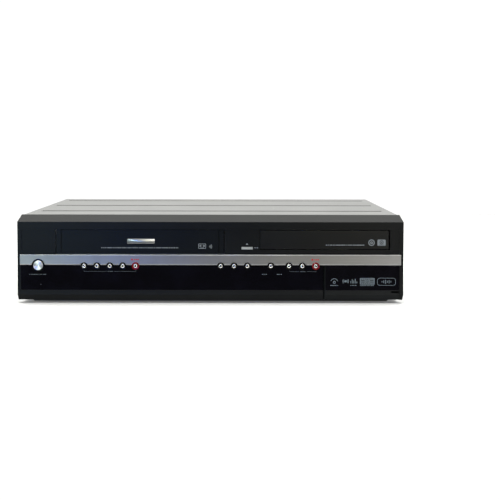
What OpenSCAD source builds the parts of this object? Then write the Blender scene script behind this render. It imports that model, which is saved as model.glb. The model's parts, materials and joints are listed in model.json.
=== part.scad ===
// Combined disc and cassette player, full-width home component.
// X runs to the right, Y to the back, Z up; the origin is on the table under the middle of the box.

/* [Overall] */
// Width across the front panel
body_w = 435; // [425:1:530]
// Height from the table to the top of the cover
body_h = 99.5; // [99:0.5:125]
// Depth from the front face to the back edge of the cover
body_d = 346; // [340:1:430]
// Height of the feet under the chassis
foot_h = 6; // [5.5:0.1:8]
// Radius of a foot
foot_r = 9; // [7:0.5:12]

/* [Casing] */
// Thickness of the steel cover
cover_t = 1; // [0.8:0.1:1.2]
// Radius of the cover's bends
cover_bend = 3.5; // [2.5:0.5:6]
// Thickness of the chassis and rear panel
sheet_t = 1.2; // [1:0.1:1.5]
// Width of a pressed groove in the cover
groove_w = 12; // [8:0.5:14]
// Depth of a pressed groove in the cover
groove_depth = 1.5; // [1:0.1:1.8]
// Distance between two pressed grooves
groove_pitch = 114; // [90:1:135]
// Height of the sloping top edge of the front panel
edge_chamfer = 7.8; // [6:0.1:9]
// How far the front panel stands out beyond the cover on each side
side_taper = 4; // [3:0.5:6]

/* [Front face] */
// Height of the dark window
window_h = 28; // [27:0.1:34]
// Height of the metal strip
strip_h = 12; // [12:0.5:15]
// Width of the jack flap
flap_w = 85.5; // [80:0.5:92]
// Radius of a function key
key_r = 2.9; // [2.5:0.1:3.1]
// Radius of the power button
power_r = 5.3; // [4.8:0.1:6]
// Travel of a function key
key_travel = 0.5; // [0.3:0.1:0.5]
// Distance between two keys of the cassette side
tape_key_pitch = 14.5; // [13:0.1:17]
// Distance between two keys of the disc side
disc_key_pitch = 15.1; // [13:0.1:17]

/* [Cassette] */
// Width of the cassette
cassette_w = 188; // [186:0.5:190]
// Length of the cassette from its label edge to its tape door
cassette_l = 104; // [102:0.5:106]
// Thickness of the cassette
cassette_h = 25; // [24:0.1:27]
// Travel of the carriage from the slot to its corner
carriage_in = 60; // [50:1:60]
// Travel of the basket down onto the reels
carriage_down = 30; // [24:0.5:30]

/* [Tape deck] */
// Radius of the head drum
drum_r = 31; // [25:0.5:31]
// Lean of the head drum, in degrees
drum_lean = 5; // [3:0.5:6]
// Distance between the two reels
reel_pitch = 92; // [88:0.5:94]
// Radius of a reel table
reel_r = 21; // [16:0.5:22]

/* [Disc drive] */
// Width of the tray front
bezel_w = 145; // [140:0.5:148]
// Height of the tray front
bezel_h = 21.4; // [20:0.1:22]
// Width of the tray
tray_w = 130; // [126:0.5:130]
// Thickness of the tray
tray_t = 4; // [3.5:0.1:4]
// Travel of the tray
tray_travel = 150; // [140:1:150]
// Radius of a disc
disc_r = 60; // [58:0.5:60]
// Teeth of the tray gear
gear_teeth = 24; // [20:1:24]

/* [Hidden] */
$fn = 48;

// Clearances
fit = 0.05; // a shaft in its bore, on the radius
gap = 0.3; // pieces that pass each other
slip = 0.2; // a key in its ring, on the radius

// Front and back faces; the power button and the rear jacks are the outermost points
power_proud = 1.6;
jack_proud = 8.4;
front = -(body_d + power_proud + jack_proud) / 2 + power_proud;
back = front + body_d;
left = -body_w / 2;
right = body_w / 2;

// Casing
cover_x = right - side_taper;
shell_x = cover_x - cover_t - gap;
shell_t = 1.5;
inner_x = shell_x - shell_t;
shell_top = body_h - cover_t - gap;
floor_z = foot_h;
floor_top = floor_z + sheet_t;
panel_wall = 3.6;
panel_lap = 9.2;
panel_back = 18;
groove_slope = 0.6; // sideways run of a groove's wall for each mm down
board_t = 1.6;
foot_front = 27.5;
foot_rear = 46;
foot_inset = 42;

// Levels of the front face, upwards from the table
panel_z0 = floor_z - 2.3;
skirt_drop = 1.4;
crease_z = panel_z0 + 5.8;
band_z1 = panel_z0 + 11.1;
strip_z0 = band_z1 + window_h;
strip_z1 = strip_z0 + strip_h;
slot_z0 = strip_z1 + 0.1;
cassette_z = slot_z0 + 1.3;
slot_z1 = cassette_z + cassette_h + 2;
lip_z1 = body_h - edge_chamfer;
key_z = strip_z0 - 0.7;
power_z = strip_z0 - 0.1;

// Depths of the steps in the front face
face_step = 1;
strip_step = 1.6;
window_step = 2;
strip_proud = 0.4;

// Cassette slot and door
slot_x0 = left + 43;
slot_x1 = slot_x0 + cassette_w + 2.1;
deck_x = (slot_x0 + slot_x1) / 2;
door_axis = [front + 4, slot_z1 + 1.4];
door_pin_r = 1.2;
door_t = 2.2;

// Disc tray front
bezel_x1 = right - 16.7;
bezel_x0 = bezel_x1 - bezel_w;
bezel_z0 = strip_z1 + 6.3;
bezel_z1 = bezel_z0 + bezel_h;
drive_x = (bezel_x0 + bezel_x1) / 2;

// Jack flap
flap_x1 = right - 4.6;
flap_x0 = flap_x1 - flap_w;
flap_z0 = panel_z0 + gap;
flap_z1 = strip_z0 - gap;
flap_knuckle = 3.1;
flap_axis = [flap_x0 + flap_knuckle, front + flap_knuckle + 0.1];
flap_pin_r = 1;
bay_wall = 1.6;
bay_x1 = inner_x - shell_t;

// Keys: five of the cassette side, three in the middle, the dubbing key and three of the disc side
tape_keys_x = left + 74.9;
middle_keys_x = right - 206.1;
dubbing_key_x = right - 149.5;
disc_keys_x = right - 129.1;
KEY_X = concat(
    [for (i = [0 : 4]) tape_keys_x + i * tape_key_pitch],
    [for (i = [0 : 2]) middle_keys_x + i * disc_key_pitch],
    [dubbing_key_x],
    [for (i = [0 : 2]) disc_keys_x + i * disc_key_pitch]
);
RECORD_KEYS = [4, 11];
PLAIN_KEYS = [0, 1, 2, 3, 5, 6, 7, 8, 9, 10];
key_ring_r = key_r + slip + 0.9;
record_ring_r = key_r + slip + 1.1;
power_x = left + 23.4;
power_ring_in = power_r + 0.3;
power_ring_r = power_ring_in + 1.4;
eject_x = bezel_x0 - 14.6;
eject_half = [6.15, 1.25];
eject_z = bezel_z0 + 1.05;

// Key board behind the face
board_y = front + 13.5;
switch_y = front + 9.8;
plunger_y = front + 9;
stem_y = plunger_y - key_travel - 0.1;
display_x = (KEY_X[4] + KEY_X[5]) / 2;
display_half = 39;
display_z0 = band_z1 + 2.5;
display_h = 18;
board_screws_x = [left + 12.5, left + 57, left + 123, middle_keys_x + 8, flap_x0 - 12];
board_screws_z = band_z1 + 4.6;

// Disc drive, upwards from its underside
drive_half = bezel_w / 2 - 0.2;
drive_z0 = bezel_z0 - 14.6;
drive_wall = 1.6;
drive_y0 = front + 20;
drive_l = 196;
tray_z = bezel_z0 + 4.9;
tray_y0 = front + 3.4;
tray_l = 194;
spindle_y = front + 80;
slot_half = 20;
gear_m = 1;
gear_pitch_r = gear_m * gear_teeth / 2;
rack_x = drive_x - tray_w / 2 + 8.4;
gear_x = rack_x + gear_pitch_r;
gear_y = front + 42;
gear_z = tray_z - 7.5;
rack_h = 5;
gear_h = 7;
motor_x = gear_x + 34;
motor_y = front + 36;
traverse_z = drive_z0 + 8.5;
traverse_half = 34;
traverse_y0 = front + 62;
traverse_axis = [front + 198, traverse_z + 1];
rod_x = 24;
rod_z = traverse_z + 5;
rod_r = 1.5;
pickup_y = front + 97;
pickup_l = 24;
pickup_travel = 34;
platter_r = 14;
bridge_z = tray_z + 10;

// Cassette deck
deck_z = floor_top + 10.8;
deck_t = 1.5;
deck_top = deck_z + deck_t;
deck_y0 = front + 28;
deck_y1 = front + 258;
deck_half = 106;
basket_y = front + 74;
basket_z = cassette_z - 0.4;
basket_x = deck_x - slot_x0 + 0.8;
basket_t = 1.2;
pin_z = cassette_z + 14;
pin_r = 2;
pin_ys = [basket_y + 26, basket_y + 98];
stud_r = 1.5;
stud_z = pin_z + 12;
stud_ys = [basket_y + 18, basket_y + 96];
slider_x = basket_x + basket_t + 0.8;
guide_x = slider_x + basket_t + 1;
guide_t = 1.5;
reel_y = basket_y + cassette_l / 2;
drum_y = front + 221;
drum_z = deck_top + 2.5;
capstan_x = deck_x + 62;
capstan_y = front + 190;
pinch_pivot = [deck_x + 84, front + 208];
pinch_reach = [-5.23, -19.51];
roller_r = 7;
roller_z = 3.5;
roller_h = 9.9;
bearing_h = 3;
pole_start = [30, 92 + 74];
pole_end = [44, 212];

// Rear
rear_y1 = back - cover_t;
rear_y0 = rear_y1 - sheet_t;
main_x0 = deck_x + deck_half + 6;
main_x1 = drive_x + 64;
main_y0 = front + 52;
main_z = floor_top + 6.8;
power_x0 = left + 12;
power_x1 = left + 186;
power_y0 = deck_y1 + 8;
jack_x0 = drive_x - 114;
jack_pitch = 16;
jack_z = [main_z + 13, main_z + 31];
jack_r = 4.1;
tuner_x = drive_x + 36;
inlet_x = left + 30;
inlet_z = main_z + 17;
fan_x = left + 178;
fan_z = floor_top + 64;
fan_half = 20;
side_screw_y = [front + 62, back - 46];
side_screw_z = floor_top + 9;
rear_screw_x = [for (s = [-1 : 1]) s * (cover_x - 40)];
rear_screw_z = body_h - 5;

// ---------- Shared shapes ----------

// A box between two corners
module block(a, b) translate(a) cube(b - a);

// A round bar upwards, rightwards or backwards from a point
module post(at, r, h) translate(at) cylinder(r = r, h = h);
module bar_x(at, r, l) translate(at) rotate([0, 90, 0]) cylinder(r = r, h = l);
module bar_y(at, r, l) translate(at) rotate([-90, 0, 0]) cylinder(r = r, h = l);

// A side view (depth, height) swept from x0 to x1
module side_sweep(x0, x1) translate([x0, 0, 0]) rotate([90, 0, 90]) linear_extrude(x1 - x0) children();

// A front view (width, height) swept from y0 to y1
module front_sweep(y0, y1) translate([0, y1, 0]) rotate([90, 0, 0]) linear_extrude(y1 - y0) children();

// A straight slot with round ends, in the plane
module slot_2d(a, b, r) translate(a) rotate(atan2(b[1] - a[1], b[0] - a[0])) {
    translate([0, -r]) square([norm(b - a), 2 * r]);
    circle(r);
    translate([norm(b - a), 0]) circle(r);
}

// The same piece on both sides of a plane x = c
module both_sides(c = 0) {
    children();
    translate([2 * c, 0, 0]) mirror([1, 0, 0]) children();
}

// A ring, standing along Y
module ring_y(at, r_out, r_in, l) difference() {
    bar_y(at, r_out, l);
    bar_y(at - [0, 1, 0], r_in, l + 2);
}

// ---------- Casing ----------

module base_chassis() color([0.62, 0.64, 0.65]) difference() {
    union() {
        block([-shell_x, front + panel_back + 0.2, floor_z], [shell_x, rear_y1, floor_top]);
        both_sides() block([shell_x - sheet_t, front + 20, floor_top],
            [shell_x, rear_y0 - 2, floor_top + 18]);
        // posts of the cassette deck
        for (x = [-1, 1], y = [deck_y0 + 6, deck_y1 - 6])
            post([deck_x + x * (deck_half - 6), y, floor_top], 3.5, deck_z - floor_top);
        // posts of the disc drive
        for (x = [-1, 1], y = [drive_y0 + 14, drive_y0 + drive_l - 12])
            post([drive_x + x * (drive_half - 4), y, floor_top], 3.5, drive_z0 - floor_top);
        // stand-offs of the boards
        for (x = [main_x0 + 5, main_x1 - 5], y = [main_y0 + 5, rear_y0 - 12])
            post([x, y, floor_top], 3, main_z - floor_top);
        for (x = [power_x0 + 5, power_x1 - 5], y = [power_y0 + 5, rear_y0 - 12])
            post([x, y, floor_top], 3, main_z - floor_top);
    }
    // air slots under the boards
    for (i = [0 : 9], x = [left + 60, drive_x - 60])
        block([x + i * 8, back - 60, floor_z - 1], [x + i * 8 + 3, back - 34, floor_top + 1]);
    // screw holes in the side flanges
    for (y = side_screw_y) bar_x([-shell_x - 1, y, side_screw_z], 1.8, 2 * shell_x + 2);
}

module feet() color([0.08, 0.08, 0.08]) {
    foot_x = [left + foot_inset, right - foot_inset];
    foot_y = [front + foot_front, back - foot_rear];
    for (x = foot_x, y = foot_y) difference() {
        union() {
            post([x, y, 0.6], foot_r, foot_h - 0.6);
            post([x, y, 0], foot_r - 0.6, 0.7);
        }
        post([x, y, -1], 2.5, 3);
    }
}

module rear_panel() color([0.2, 0.2, 0.21]) difference() {
    front_sweep(rear_y0, rear_y1) difference() {
        cover_outline(cover_t + gap);
        translate([-shell_x - 1, 0]) square([2 * shell_x + 2, floor_top]);
    }
    for (i = [0 : 5], z = jack_z) bar_y([jack_x0 + i * jack_pitch, rear_y0 - 1, z], jack_r + 0.5, 5);
    for (z = jack_z) bar_y([jack_x0 + 6 * jack_pitch, rear_y0 - 1, z], 5.4, 5);
    for (z = jack_z) bar_y([tuner_x + 22, rear_y0 - 1, z], 5.4, 5);
    block([jack_x0 + 7 * jack_pitch - 4.8, rear_y0 - 1, jack_z[0] - 4.8],
          [jack_x0 + 7 * jack_pitch + 4.8, rear_y1 + 1, jack_z[0] + 4.8]);
    front_sweep(rear_y0 - 1, rear_y1 + 1) inlet_outline(2.3);
    // fan grille: two rings of arc slots left between four spokes
    difference() {
        for (r = [7, 12, 17]) ring_y([fan_x, rear_y0 - 1, fan_z], r + 1.6, r - 1.6, 5);
        for (a = [45, 135]) translate([fan_x, rear_y0, fan_z]) rotate([0, a, 0])
            cube([44, 8, 3], center = true);
    }
    // air slots
    for (i = [0 : 11])
        block([left + 30 + i * 7, rear_y0 - 1, floor_top + 46],
            [left + 33 + i * 7, rear_y1 + 1, floor_top + 66]);
}

module inlet_outline(grow = 0) slot_2d([inlet_x - 4.3, inlet_z], [inlet_x + 4.3, inlet_z], 4.4 + grow);

// The cover's front view; inset shrinks it to the inner face
module cover_outline(inset) {
    bend_x = cover_x - cover_bend;
    translate([-cover_x + inset, floor_z]) square([2 * (cover_x - inset), body_h - floor_z - cover_bend]);
    translate([-bend_x, floor_z]) square([2 * bend_x, body_h - floor_z - inset]);
    for (s = [-1, 1]) translate([s * bend_x, body_h - cover_bend]) circle(cover_bend - inset);
}

// A groove's side view, pressed down from height z
module groove_outline(y, z, w) {
    slope = groove_depth * groove_slope;
    polygon([[y - w / 2, z + 0.01], [y - w / 2 + slope, z - groove_depth],
        [y + w / 2 - slope, z - groove_depth], [y + w / 2, z + 0.01]]);
}

module top_cover() color([0.72, 0.73, 0.71]) {
    first_groove = front + 75;
    groove_x = cover_x - 12;
    groove_ys = [for (i = [0 : 2]) first_groove + i * groove_pitch];
    difference() {
        union() {
            difference() {
                front_sweep(front + panel_lap + 0.2, back) cover_outline(0);
                front_sweep(front, back + 1) cover_outline(cover_t);
            }
            // pressed grooves, seen from below
            for (y = groove_ys) side_sweep(-groove_x - cover_t, groove_x + cover_t)
                groove_outline(y, body_h - cover_t, groove_w + 2 * cover_t);
            // flange bent down over the rear panel
            block([-cover_x + 6, rear_y1, body_h - 9], [cover_x - 6, back, body_h - cover_t]);
        }
        for (y = groove_ys) side_sweep(-groove_x, groove_x) groove_outline(y, body_h, groove_w);
        block([-cover_x - 1, front, floor_z - 1], [cover_x + 1, back + 1, floor_z + 1.5]);
        // air slots in both sides
        both_sides() for (i = [0 : 17])
            block([cover_x - 2, back - 60 - i * 7, floor_z + 36],
                [cover_x + 1, back - 57 - i * 7, floor_z + 60]);
        for (y = side_screw_y) bar_x([-cover_x - 1, y, side_screw_z], 1.8, 2 * cover_x + 2);
        for (x = rear_screw_x) bar_y([x, rear_y1 - 0.1, rear_screw_z], 1.8, 3);
    }
}

module case_screws() color([0.15, 0.15, 0.15]) {
    both_sides() for (y = side_screw_y) difference() {
        union() {
            bar_x([cover_x, y, side_screw_z], 3.6, 1.6);
            bar_x([cover_x - 6, y, side_screw_z], 1.5, 6.1);
        }
        bar_x([cover_x + 0.8, y, side_screw_z], 1.2, 1);
    }
    for (x = rear_screw_x) difference() {
        bar_y([x, back, rear_screw_z], 3.4, 1.5);
        bar_y([x, back + 0.8, rear_screw_z], 1.2, 1);
    }
}

// ---------- Front ----------

// Outer form of the front panel: sloping top edge, tapered top corners, lower band turned in
module panel_outline() intersection() {
    side_sweep(left, right) polygon([
        [front + 1.6, panel_z0], [front, crease_z], [front, lip_z1], [front + edge_chamfer, body_h],
        [front + panel_lap, body_h], [front + panel_lap, panel_z0]
    ]);
    front_sweep(front, front + panel_lap) polygon([
        [left + 0.9, panel_z0], [left, crease_z], [left, lip_z1], [left + side_taper, body_h],
        [right - side_taper, body_h], [right, lip_z1], [right, crease_z], [right - 0.9, panel_z0]
    ]);
}

// Holes for the rings, in whatever stands in front of or behind them
module ring_holes(clear, y0, y1) {
    for (i = PLAIN_KEYS) bar_y([KEY_X[i], y0, key_z], key_ring_r + clear, y1 - y0);
    for (i = RECORD_KEYS) bar_y([KEY_X[i], y0, key_z], record_ring_r + clear, y1 - y0);
    bar_y([power_x, y0, power_z], power_ring_r + clear, y1 - y0);
}

module front_panel() color([0.12, 0.13, 0.13]) difference() {
    union() {
        panel_shell();
        panel_skirt();
        jack_bay();
        // ears that hold the cassette door's pins
        both_sides(deck_x) block([slot_x0 - 4, front + panel_wall - 0.1, slot_z1 - 1.7],
            [slot_x0, front + 7.2, slot_z1 + 4.6]);
        // bosses of the key board
        for (x = board_screws_x)
            bar_y([x, front + panel_wall - 0.1, board_screws_z], 2.5, board_y - front - panel_wall + 0.1);
    }
    // recessed upper face, cassette slot and relief for the door's knuckles
    block([left + 4.6, front - 1, strip_z1], [right - 4.6, front + face_step, slot_z1]);
    block([slot_x0, front - 1, slot_z0], [slot_x1, front + panel_wall + 0.1, slot_z1]);
    block([slot_x0, front + 2, slot_z1 - 1], [slot_x1, front + panel_wall + 0.1, slot_z1 + 4]);
    bar_x([slot_x0 - 2.6, door_axis[0], door_axis[1]], door_pin_r + fit, slot_x1 - slot_x0 + 5.2);
    // tray mouth and the slit of the open/close button
    block([bezel_x0 - 0.4, front - 1, bezel_z0 - 0.7],
        [bezel_x1 + 1.6, front + panel_wall + 0.1, bezel_z1 + 0.4]);
    block([eject_x - eject_half[0] - gap, front - 1, eject_z - eject_half[1] - gap],
        [eject_x + eject_half[0] + gap, front + panel_wall + 0.1, eject_z + eject_half[1] + gap]);
    // seats of the strip and the window
    block([left + 2.7, front - 1, strip_z0], [right - 2.7, front + strip_step, strip_z1]);
    block([left + 3.7, front - 1, band_z1], [flap_x0 - gap, front + window_step, strip_z0]);
    block([display_x - display_half - 1.5, front, display_z0 - 1],
        [display_x + display_half + 1.5, front + panel_wall + 0.1, display_z0 + display_h + 1]);
    bar_y([power_x + 2.9, front, band_z1 + 6.3], 2.5, panel_wall + 1);
    ring_holes(fit, front - 1, front + panel_wall + 0.1);
    // opening of the flap and its pivot holes
    block([flap_x0 - gap, front - 1, panel_z0], [flap_x1 + gap, front + 7, strip_z0]);
    post([flap_axis[0], flap_axis[1], panel_z0 - 2], flap_pin_r + fit, strip_z0 - panel_z0 + 3.6);
}

// The hollow shell: visible part in front of the cover, and the sleeve that goes inside it
module panel_shell() {
    ceiling = shell_top - 1.4;
    difference() {
        union() {
            panel_outline();
            front_sweep(front + panel_lap - 0.1, front + panel_back) {
                cover_outline(cover_t + gap);
                translate([-shell_x, panel_z0]) square([2 * shell_x, 10]);
            }
        }
        side_sweep(-inner_x, inner_x) polygon([
            [front + panel_wall, panel_z0 + 2], [front + panel_wall, lip_z1 - 1],
            [front + panel_wall + ceiling - lip_z1 + 1, ceiling], [front + panel_back + 1, ceiling],
            [front + panel_back + 1, panel_z0 + 2]
        ]);
        block([left + 2.5, front + panel_wall, panel_z0 + 2],
            [right - 2.5, front + panel_lap - 2, lip_z1 - 1]);
    }
}

// The skirt: a little lower between the front corners, with sloping ends
module panel_skirt() front_sweep(front + 1.8, front + 10) polygon([
    [left + 17, panel_z0], [left + 19, panel_z0 - skirt_drop], [right - 19, panel_z0 - skirt_drop],
    [right - 17, panel_z0], [right - 17, panel_z0 + 1], [left + 17, panel_z0 + 1]
]);

// The box behind the flap; its back wall carries the small jack board
module jack_bay() {
    bay_x0 = flap_x0 - gap;
    bay_y1 = front + panel_back;
    block([bay_x0 - shell_t, front + panel_wall - 0.1, panel_z0], [bay_x0, bay_y1, strip_z0 + shell_t]);
    block([bay_x1, front + 7.2, panel_z0], [inner_x + 0.1, bay_y1, strip_z0 + shell_t]);
    block([bay_x0, front + strip_step + 0.1, strip_z0], [inner_x + 0.1, bay_y1, strip_z0 + shell_t]);
    difference() {
        union() {
            block([bay_x0, bay_y1 - bay_wall, panel_z0], [inner_x + 0.1, bay_y1, strip_z0]);
            for (x = [flap_x0 + 8, bay_x1 - 6], z = [panel_z0 + 8, strip_z0 - 6])
                bar_y([x, bay_y1 - 0.1, z], 2.2, 2);
        }
        for (i = [0 : 3])
            bar_y([front_jack_x(i), front, front_jack_z], i == 0 ? 5.6 : jack_r + 0.5, panel_back + 1);
    }
}

front_jack_z = panel_z0 + 19;
function front_jack_x(i) = flap_x0 + 18 + i * jack_pitch;

module display_window() color([0.05, 0.05, 0.08]) difference() {
    block([left + 3.8, front, band_z1 + 0.1], [flap_x0 - 0.5, front + window_step, strip_z0 - 0.1]);
    ring_holes(0.1, front - 1, front + window_step + 1);
}

module silver_strip() color([0.6, 0.61, 0.62]) difference() {
    side_sweep(left + 2.8, right - 2.8) polygon([
        [front + strip_step, strip_z0], [front + strip_step, strip_z1], [front - 0.1, strip_z1],
        [front - strip_proud, strip_z1 - 0.4], [front - strip_proud, strip_z0 + 1.1], [front + 0.3, strip_z0]
    ]);
    ring_holes(0.1, front - 2, front + 3);
}

module button_rings() color([0.03, 0.03, 0.03]) {
    for (i = PLAIN_KEYS) ring_y([KEY_X[i], front - 0.7, key_z], key_ring_r, key_r + slip, 5.3);
    ring_y([power_x, front - 1, power_z], power_ring_r, power_ring_in, 5.6);
}

module record_rings() color([0.7, 0.08, 0.1])
    for (i = RECORD_KEYS) ring_y([KEY_X[i], front - 0.7, key_z], record_ring_r, key_r + slip, 5.3);

// A round function key: cap with a dimple, shoulder behind its ring, and a stem to the switch
module function_key(i) color([0.8, 0.8, 0.8]) difference() {
    union() {
        bar_y([KEY_X[i], front - 1, key_z], key_r, 7.4);
        bar_y([KEY_X[i], front + 4.9, key_z], key_r + 1.2, 1.5);
        bar_y([KEY_X[i], front + 6.3, key_z], 1.6, stem_y - front - 6.3);
    }
    bar_y([KEY_X[i], front - 2, key_z], 1.4, 1.5);
}

module tape_rewind_button() function_key(0);
module tape_play_button() function_key(1);
module tape_forward_button() function_key(2);
module tape_stop_button() function_key(3);
module tape_record_button() function_key(4);
module channel_down_button() function_key(5);
module channel_up_button() function_key(6);
module source_button() function_key(7);
module dubbing_button() function_key(8);
module disc_stop_button() function_key(9);
module disc_play_button() function_key(10);
module disc_record_button() function_key(11);

module power_button() color([0.75, 0.75, 0.75]) {
    bar_y([power_x, front - power_proud + 0.4, power_z], power_r, 7);
    bar_y([power_x, front - power_proud, power_z], power_r - 0.5, 0.5);
    bar_y([power_x, front + 5, power_z], power_r + 1.2, 1.4);
    bar_y([power_x, front + 6.3, power_z], 2, stem_y - front - 6.3);
}

module eject_button() color([0.85, 0.86, 0.85]) {
    block([eject_x - eject_half[0], front + 0.5, eject_z - eject_half[1]],
        [eject_x + eject_half[0], front + 6, eject_z + eject_half[1]]);
    block([eject_x - eject_half[0] - 1, front + 4, eject_z - eject_half[1] - 1],
        [eject_x + eject_half[0] + 1, front + 5.5, eject_z + eject_half[1] + 1]);
    bar_y([eject_x, front + 5.9, eject_z], 1.6, stem_y - front - 5.9);
}

module cassette_door() color([0.09, 0.1, 0.11]) {
    x0 = slot_x0 + 2 * gap;
    x1 = slot_x1 - 2 * gap;
    knuckle_r = 1.8;
    difference() {
        block([x0, front + 0.9, slot_z0 + 1.5], [x1, front + 0.9 + door_t, slot_z1 - 0.2]);
        for (x = [x0 + 5.7, x1 - 5.7]) block([x - 0.3, front, slot_z0], [x + 0.3, front + 1.4, slot_z1]);
    }
    both_sides(deck_x) {
        block([x0, front + 2.4, slot_z1 - 1], [x0 + 8, front + 4.6, door_axis[1]]);
        bar_x([x0, door_axis[0], door_axis[1]], knuckle_r - 0.1, 8);
        bar_x([x0 - 2.2, door_axis[0], door_axis[1]], door_pin_r, 3);
    }
}

module jack_flap() color([0.06, 0.06, 0.08]) difference() {
    union() {
        intersection() {
            panel_outline();
            union() {
                block([flap_axis[0], front + 0.1, flap_z0], [flap_x1, front + 2.5, flap_z1]);
                post([flap_axis[0], flap_axis[1], flap_z0], flap_knuckle, flap_z1 - flap_z0);
            }
        }
        post([flap_axis[0], flap_axis[1], flap_z0 - 1.3], flap_pin_r, flap_z1 - flap_z0 + 2.6);
    }
    // finger notch at the free edge, and the line between the window zone and the lower band
    block([flap_x1 - 9, front - 1, crease_z + 2.1], [flap_x1 + 1, front + 1.7, crease_z + 4.3]);
    block([flap_x0 - 1, front - 1, band_z1 - 0.15], [flap_x1 + 1, front + 0.4, band_z1 + 0.15]);
}

module front_jacks() color([0.75, 0.75, 0.72]) {
    board = front + panel_back + 1.9;
    block([flap_x0 + 4, board, front_jack_z - 14], [bay_x1 - 2, board + board_t, front_jack_z + 14]);
    for (i = [0 : 3]) {
        r = i == 0 ? 5 : jack_r;
        bar_y([front_jack_x(i), board - 1.5, front_jack_z], r + 1, 1.5);
        ring_y([front_jack_x(i), front + 9.6, front_jack_z], r, i == 0 ? 0.6 : 1.6, board - front - 11);
    }
}

module key_board() color([0.1, 0.35, 0.2]) {
    front_sweep(board_y, board_y + board_t) {
        translate([left + 9, band_z1 - 3.5]) square([flap_x0 - 4 - left - 9, window_h + 13]);
        translate([eject_x - 10, strip_z0]) square([20, eject_z - strip_z0 + 8]);
    }
    for (x = KEY_X) tact_switch(x, key_z);
    tact_switch(power_x, power_z);
    tact_switch(eject_x, eject_z);
    // infrared receiver behind its small hole
    block([power_x - 0.1, board_y - 6, band_z1 + 3], [power_x + 5.9, board_y, band_z1 + 9.6]);
}

module tact_switch(x, z) {
    block([x - 3, switch_y, z - 3], [x + 3, board_y, z + 3]);
    bar_y([x, plunger_y, z], 1.75, 1);
}

module display_module() color([0.15, 0.25, 0.25]) {
    block([display_x - display_half, front + 6, display_z0],
        [display_x + display_half, front + 10.6, display_z0 + display_h]);
    block([display_x - display_half + 2, front + 10.5, display_z0 + 1],
        [display_x + display_half - 2, board_y, display_z0 + display_h - 1]);
}

// ---------- Disc drive ----------

module drive_case() color([0.13, 0.13, 0.14]) difference() {
    union() {
        difference() {
            block([drive_x - drive_half, drive_y0, drive_z0],
                [drive_x + drive_half, drive_y0 + drive_l, drive_z0 + 41]);
            block([drive_x - drive_half + drive_wall, drive_y0 - 1, drive_z0 + drive_wall],
                [drive_x + drive_half - drive_wall, drive_y0 + drive_l - drive_wall, drive_z0 + 42]);
            // open floor under the tilting pickup chassis
            block([drive_x - 40, front + 58, drive_z0 - 1], [drive_x + 40, front + 188, drive_z0 + 2]);
        }
        both_sides(drive_x) {
            // rails below and above the tray's edge, and the ledge of the clamp bridge
            wall = drive_x - drive_half + 0.1;
            edge = drive_x - tray_w / 2 + 2.8;
            block([wall, drive_y0, tray_z - 2.3], [edge, drive_y0 + drive_l - 6, tray_z - gap]);
            block([wall, drive_y0, tray_z + tray_t + gap],
                [edge, drive_y0 + drive_l - 6, tray_z + tray_t + 2]);
            block([wall, front + 60, bridge_z - 2], [drive_x - drive_half + 6, front + 100, bridge_z]);
            // pivot ears of the pickup chassis
            difference() {
                block([drive_x - 41, traverse_axis[0] - 4, drive_z0 + 1],
                    [drive_x - 36, traverse_axis[0] + 4, traverse_axis[1] + 4]);
                bar_x([drive_x - 42, traverse_axis[0], traverse_axis[1]], 2 + fit, 7);
            }
        }
        post([gear_x, gear_y, drive_z0 + 1], 2, gear_z + gear_h - drive_z0 - 2);
    }
    post([motor_x, motor_y, drive_z0 - 1], 2, 4);
}

module clamp_bridge() color([0.6, 0.62, 0.63]) difference() {
    union() {
        block([drive_x - drive_half + drive_wall + 0.2, front + 62, bridge_z],
            [drive_x + drive_half - drive_wall - 0.2, front + 98, bridge_z + 1.5]);
        for (y = [front + 62, front + 96.8])
            block([drive_x - 52, y, bridge_z + 1.4], [drive_x + 52, y + 1.2, bridge_z + 4]);
    }
    post([drive_x, spindle_y, bridge_z - 1], 9, 4);
}

module disc_clamper() color([0.85, 0.85, 0.83]) {
    post([drive_x, spindle_y, bridge_z - 3.5], platter_r, 2.5);
    post([drive_x, spindle_y, bridge_z - 1.1], 8.5, 3.2);
    post([drive_x, spindle_y, bridge_z + 2], 11, 1.5);
}

// A tooth of the tray gear and of its rack, as half widths at the root, pitch line and tip
tooth_half = [0.62, 0.42, 0.22] * gear_m * PI / 2;
tooth_reach = 0.9 * gear_m;

module disc_tray() color([0.1, 0.1, 0.11]) {
    x0 = drive_x - tray_w / 2;
    x1 = drive_x + tray_w / 2;
    y1 = tray_y0 + tray_l;
    difference() {
        union() {
            block([x0, tray_y0, tray_z], [x1, y1, tray_z + tray_t]);
            block([x0 + 6, tray_y0, tray_z - 1.8], [x1 - 6, tray_y0 + 2, bezel_z1 - 3]);
            // stiffening lip on the right, opposite the rack
            block([x1 - 9, tray_y0 + 1, tray_z - 3], [x1 - 7, y1, tray_z + 0.1]);
        }
        post([drive_x, spindle_y, tray_z + tray_t - 2], disc_r + 1, 4);
        post([drive_x, spindle_y, tray_z + tray_t - 3], 41, 4);
        post([drive_x, spindle_y, tray_z - 1], slot_half, 6);
        block([drive_x - slot_half, spindle_y, tray_z - 1], [drive_x + slot_half, y1 + 1, tray_z + 6]);
    }
    tray_rack(gear_y - 8, y1);
}

// The rack under the tray: teeth face the gear, a gap stands where the gear has a tooth
module tray_rack(y0, y1) {
    pitch = PI * gear_m;
    root = rack_x - tooth_reach - 0.3;
    translate([0, 0, tray_z - rack_h]) linear_extrude(rack_h + 0.1) {
        translate([root - 2.2, y0]) square([2.2 + 0.01, y1 - y0]);
        for (k = [-2 : floor((y1 - gear_y) / pitch) - 1]) translate([0, gear_y + (k + 0.5) * pitch])
            polygon([[root, -tooth_half[0]], [rack_x, -tooth_half[1]], [rack_x + tooth_reach, -tooth_half[2]],
                [rack_x + tooth_reach, tooth_half[2]], [rack_x, tooth_half[1]], [root, tooth_half[0]]]);
    }
}

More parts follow.
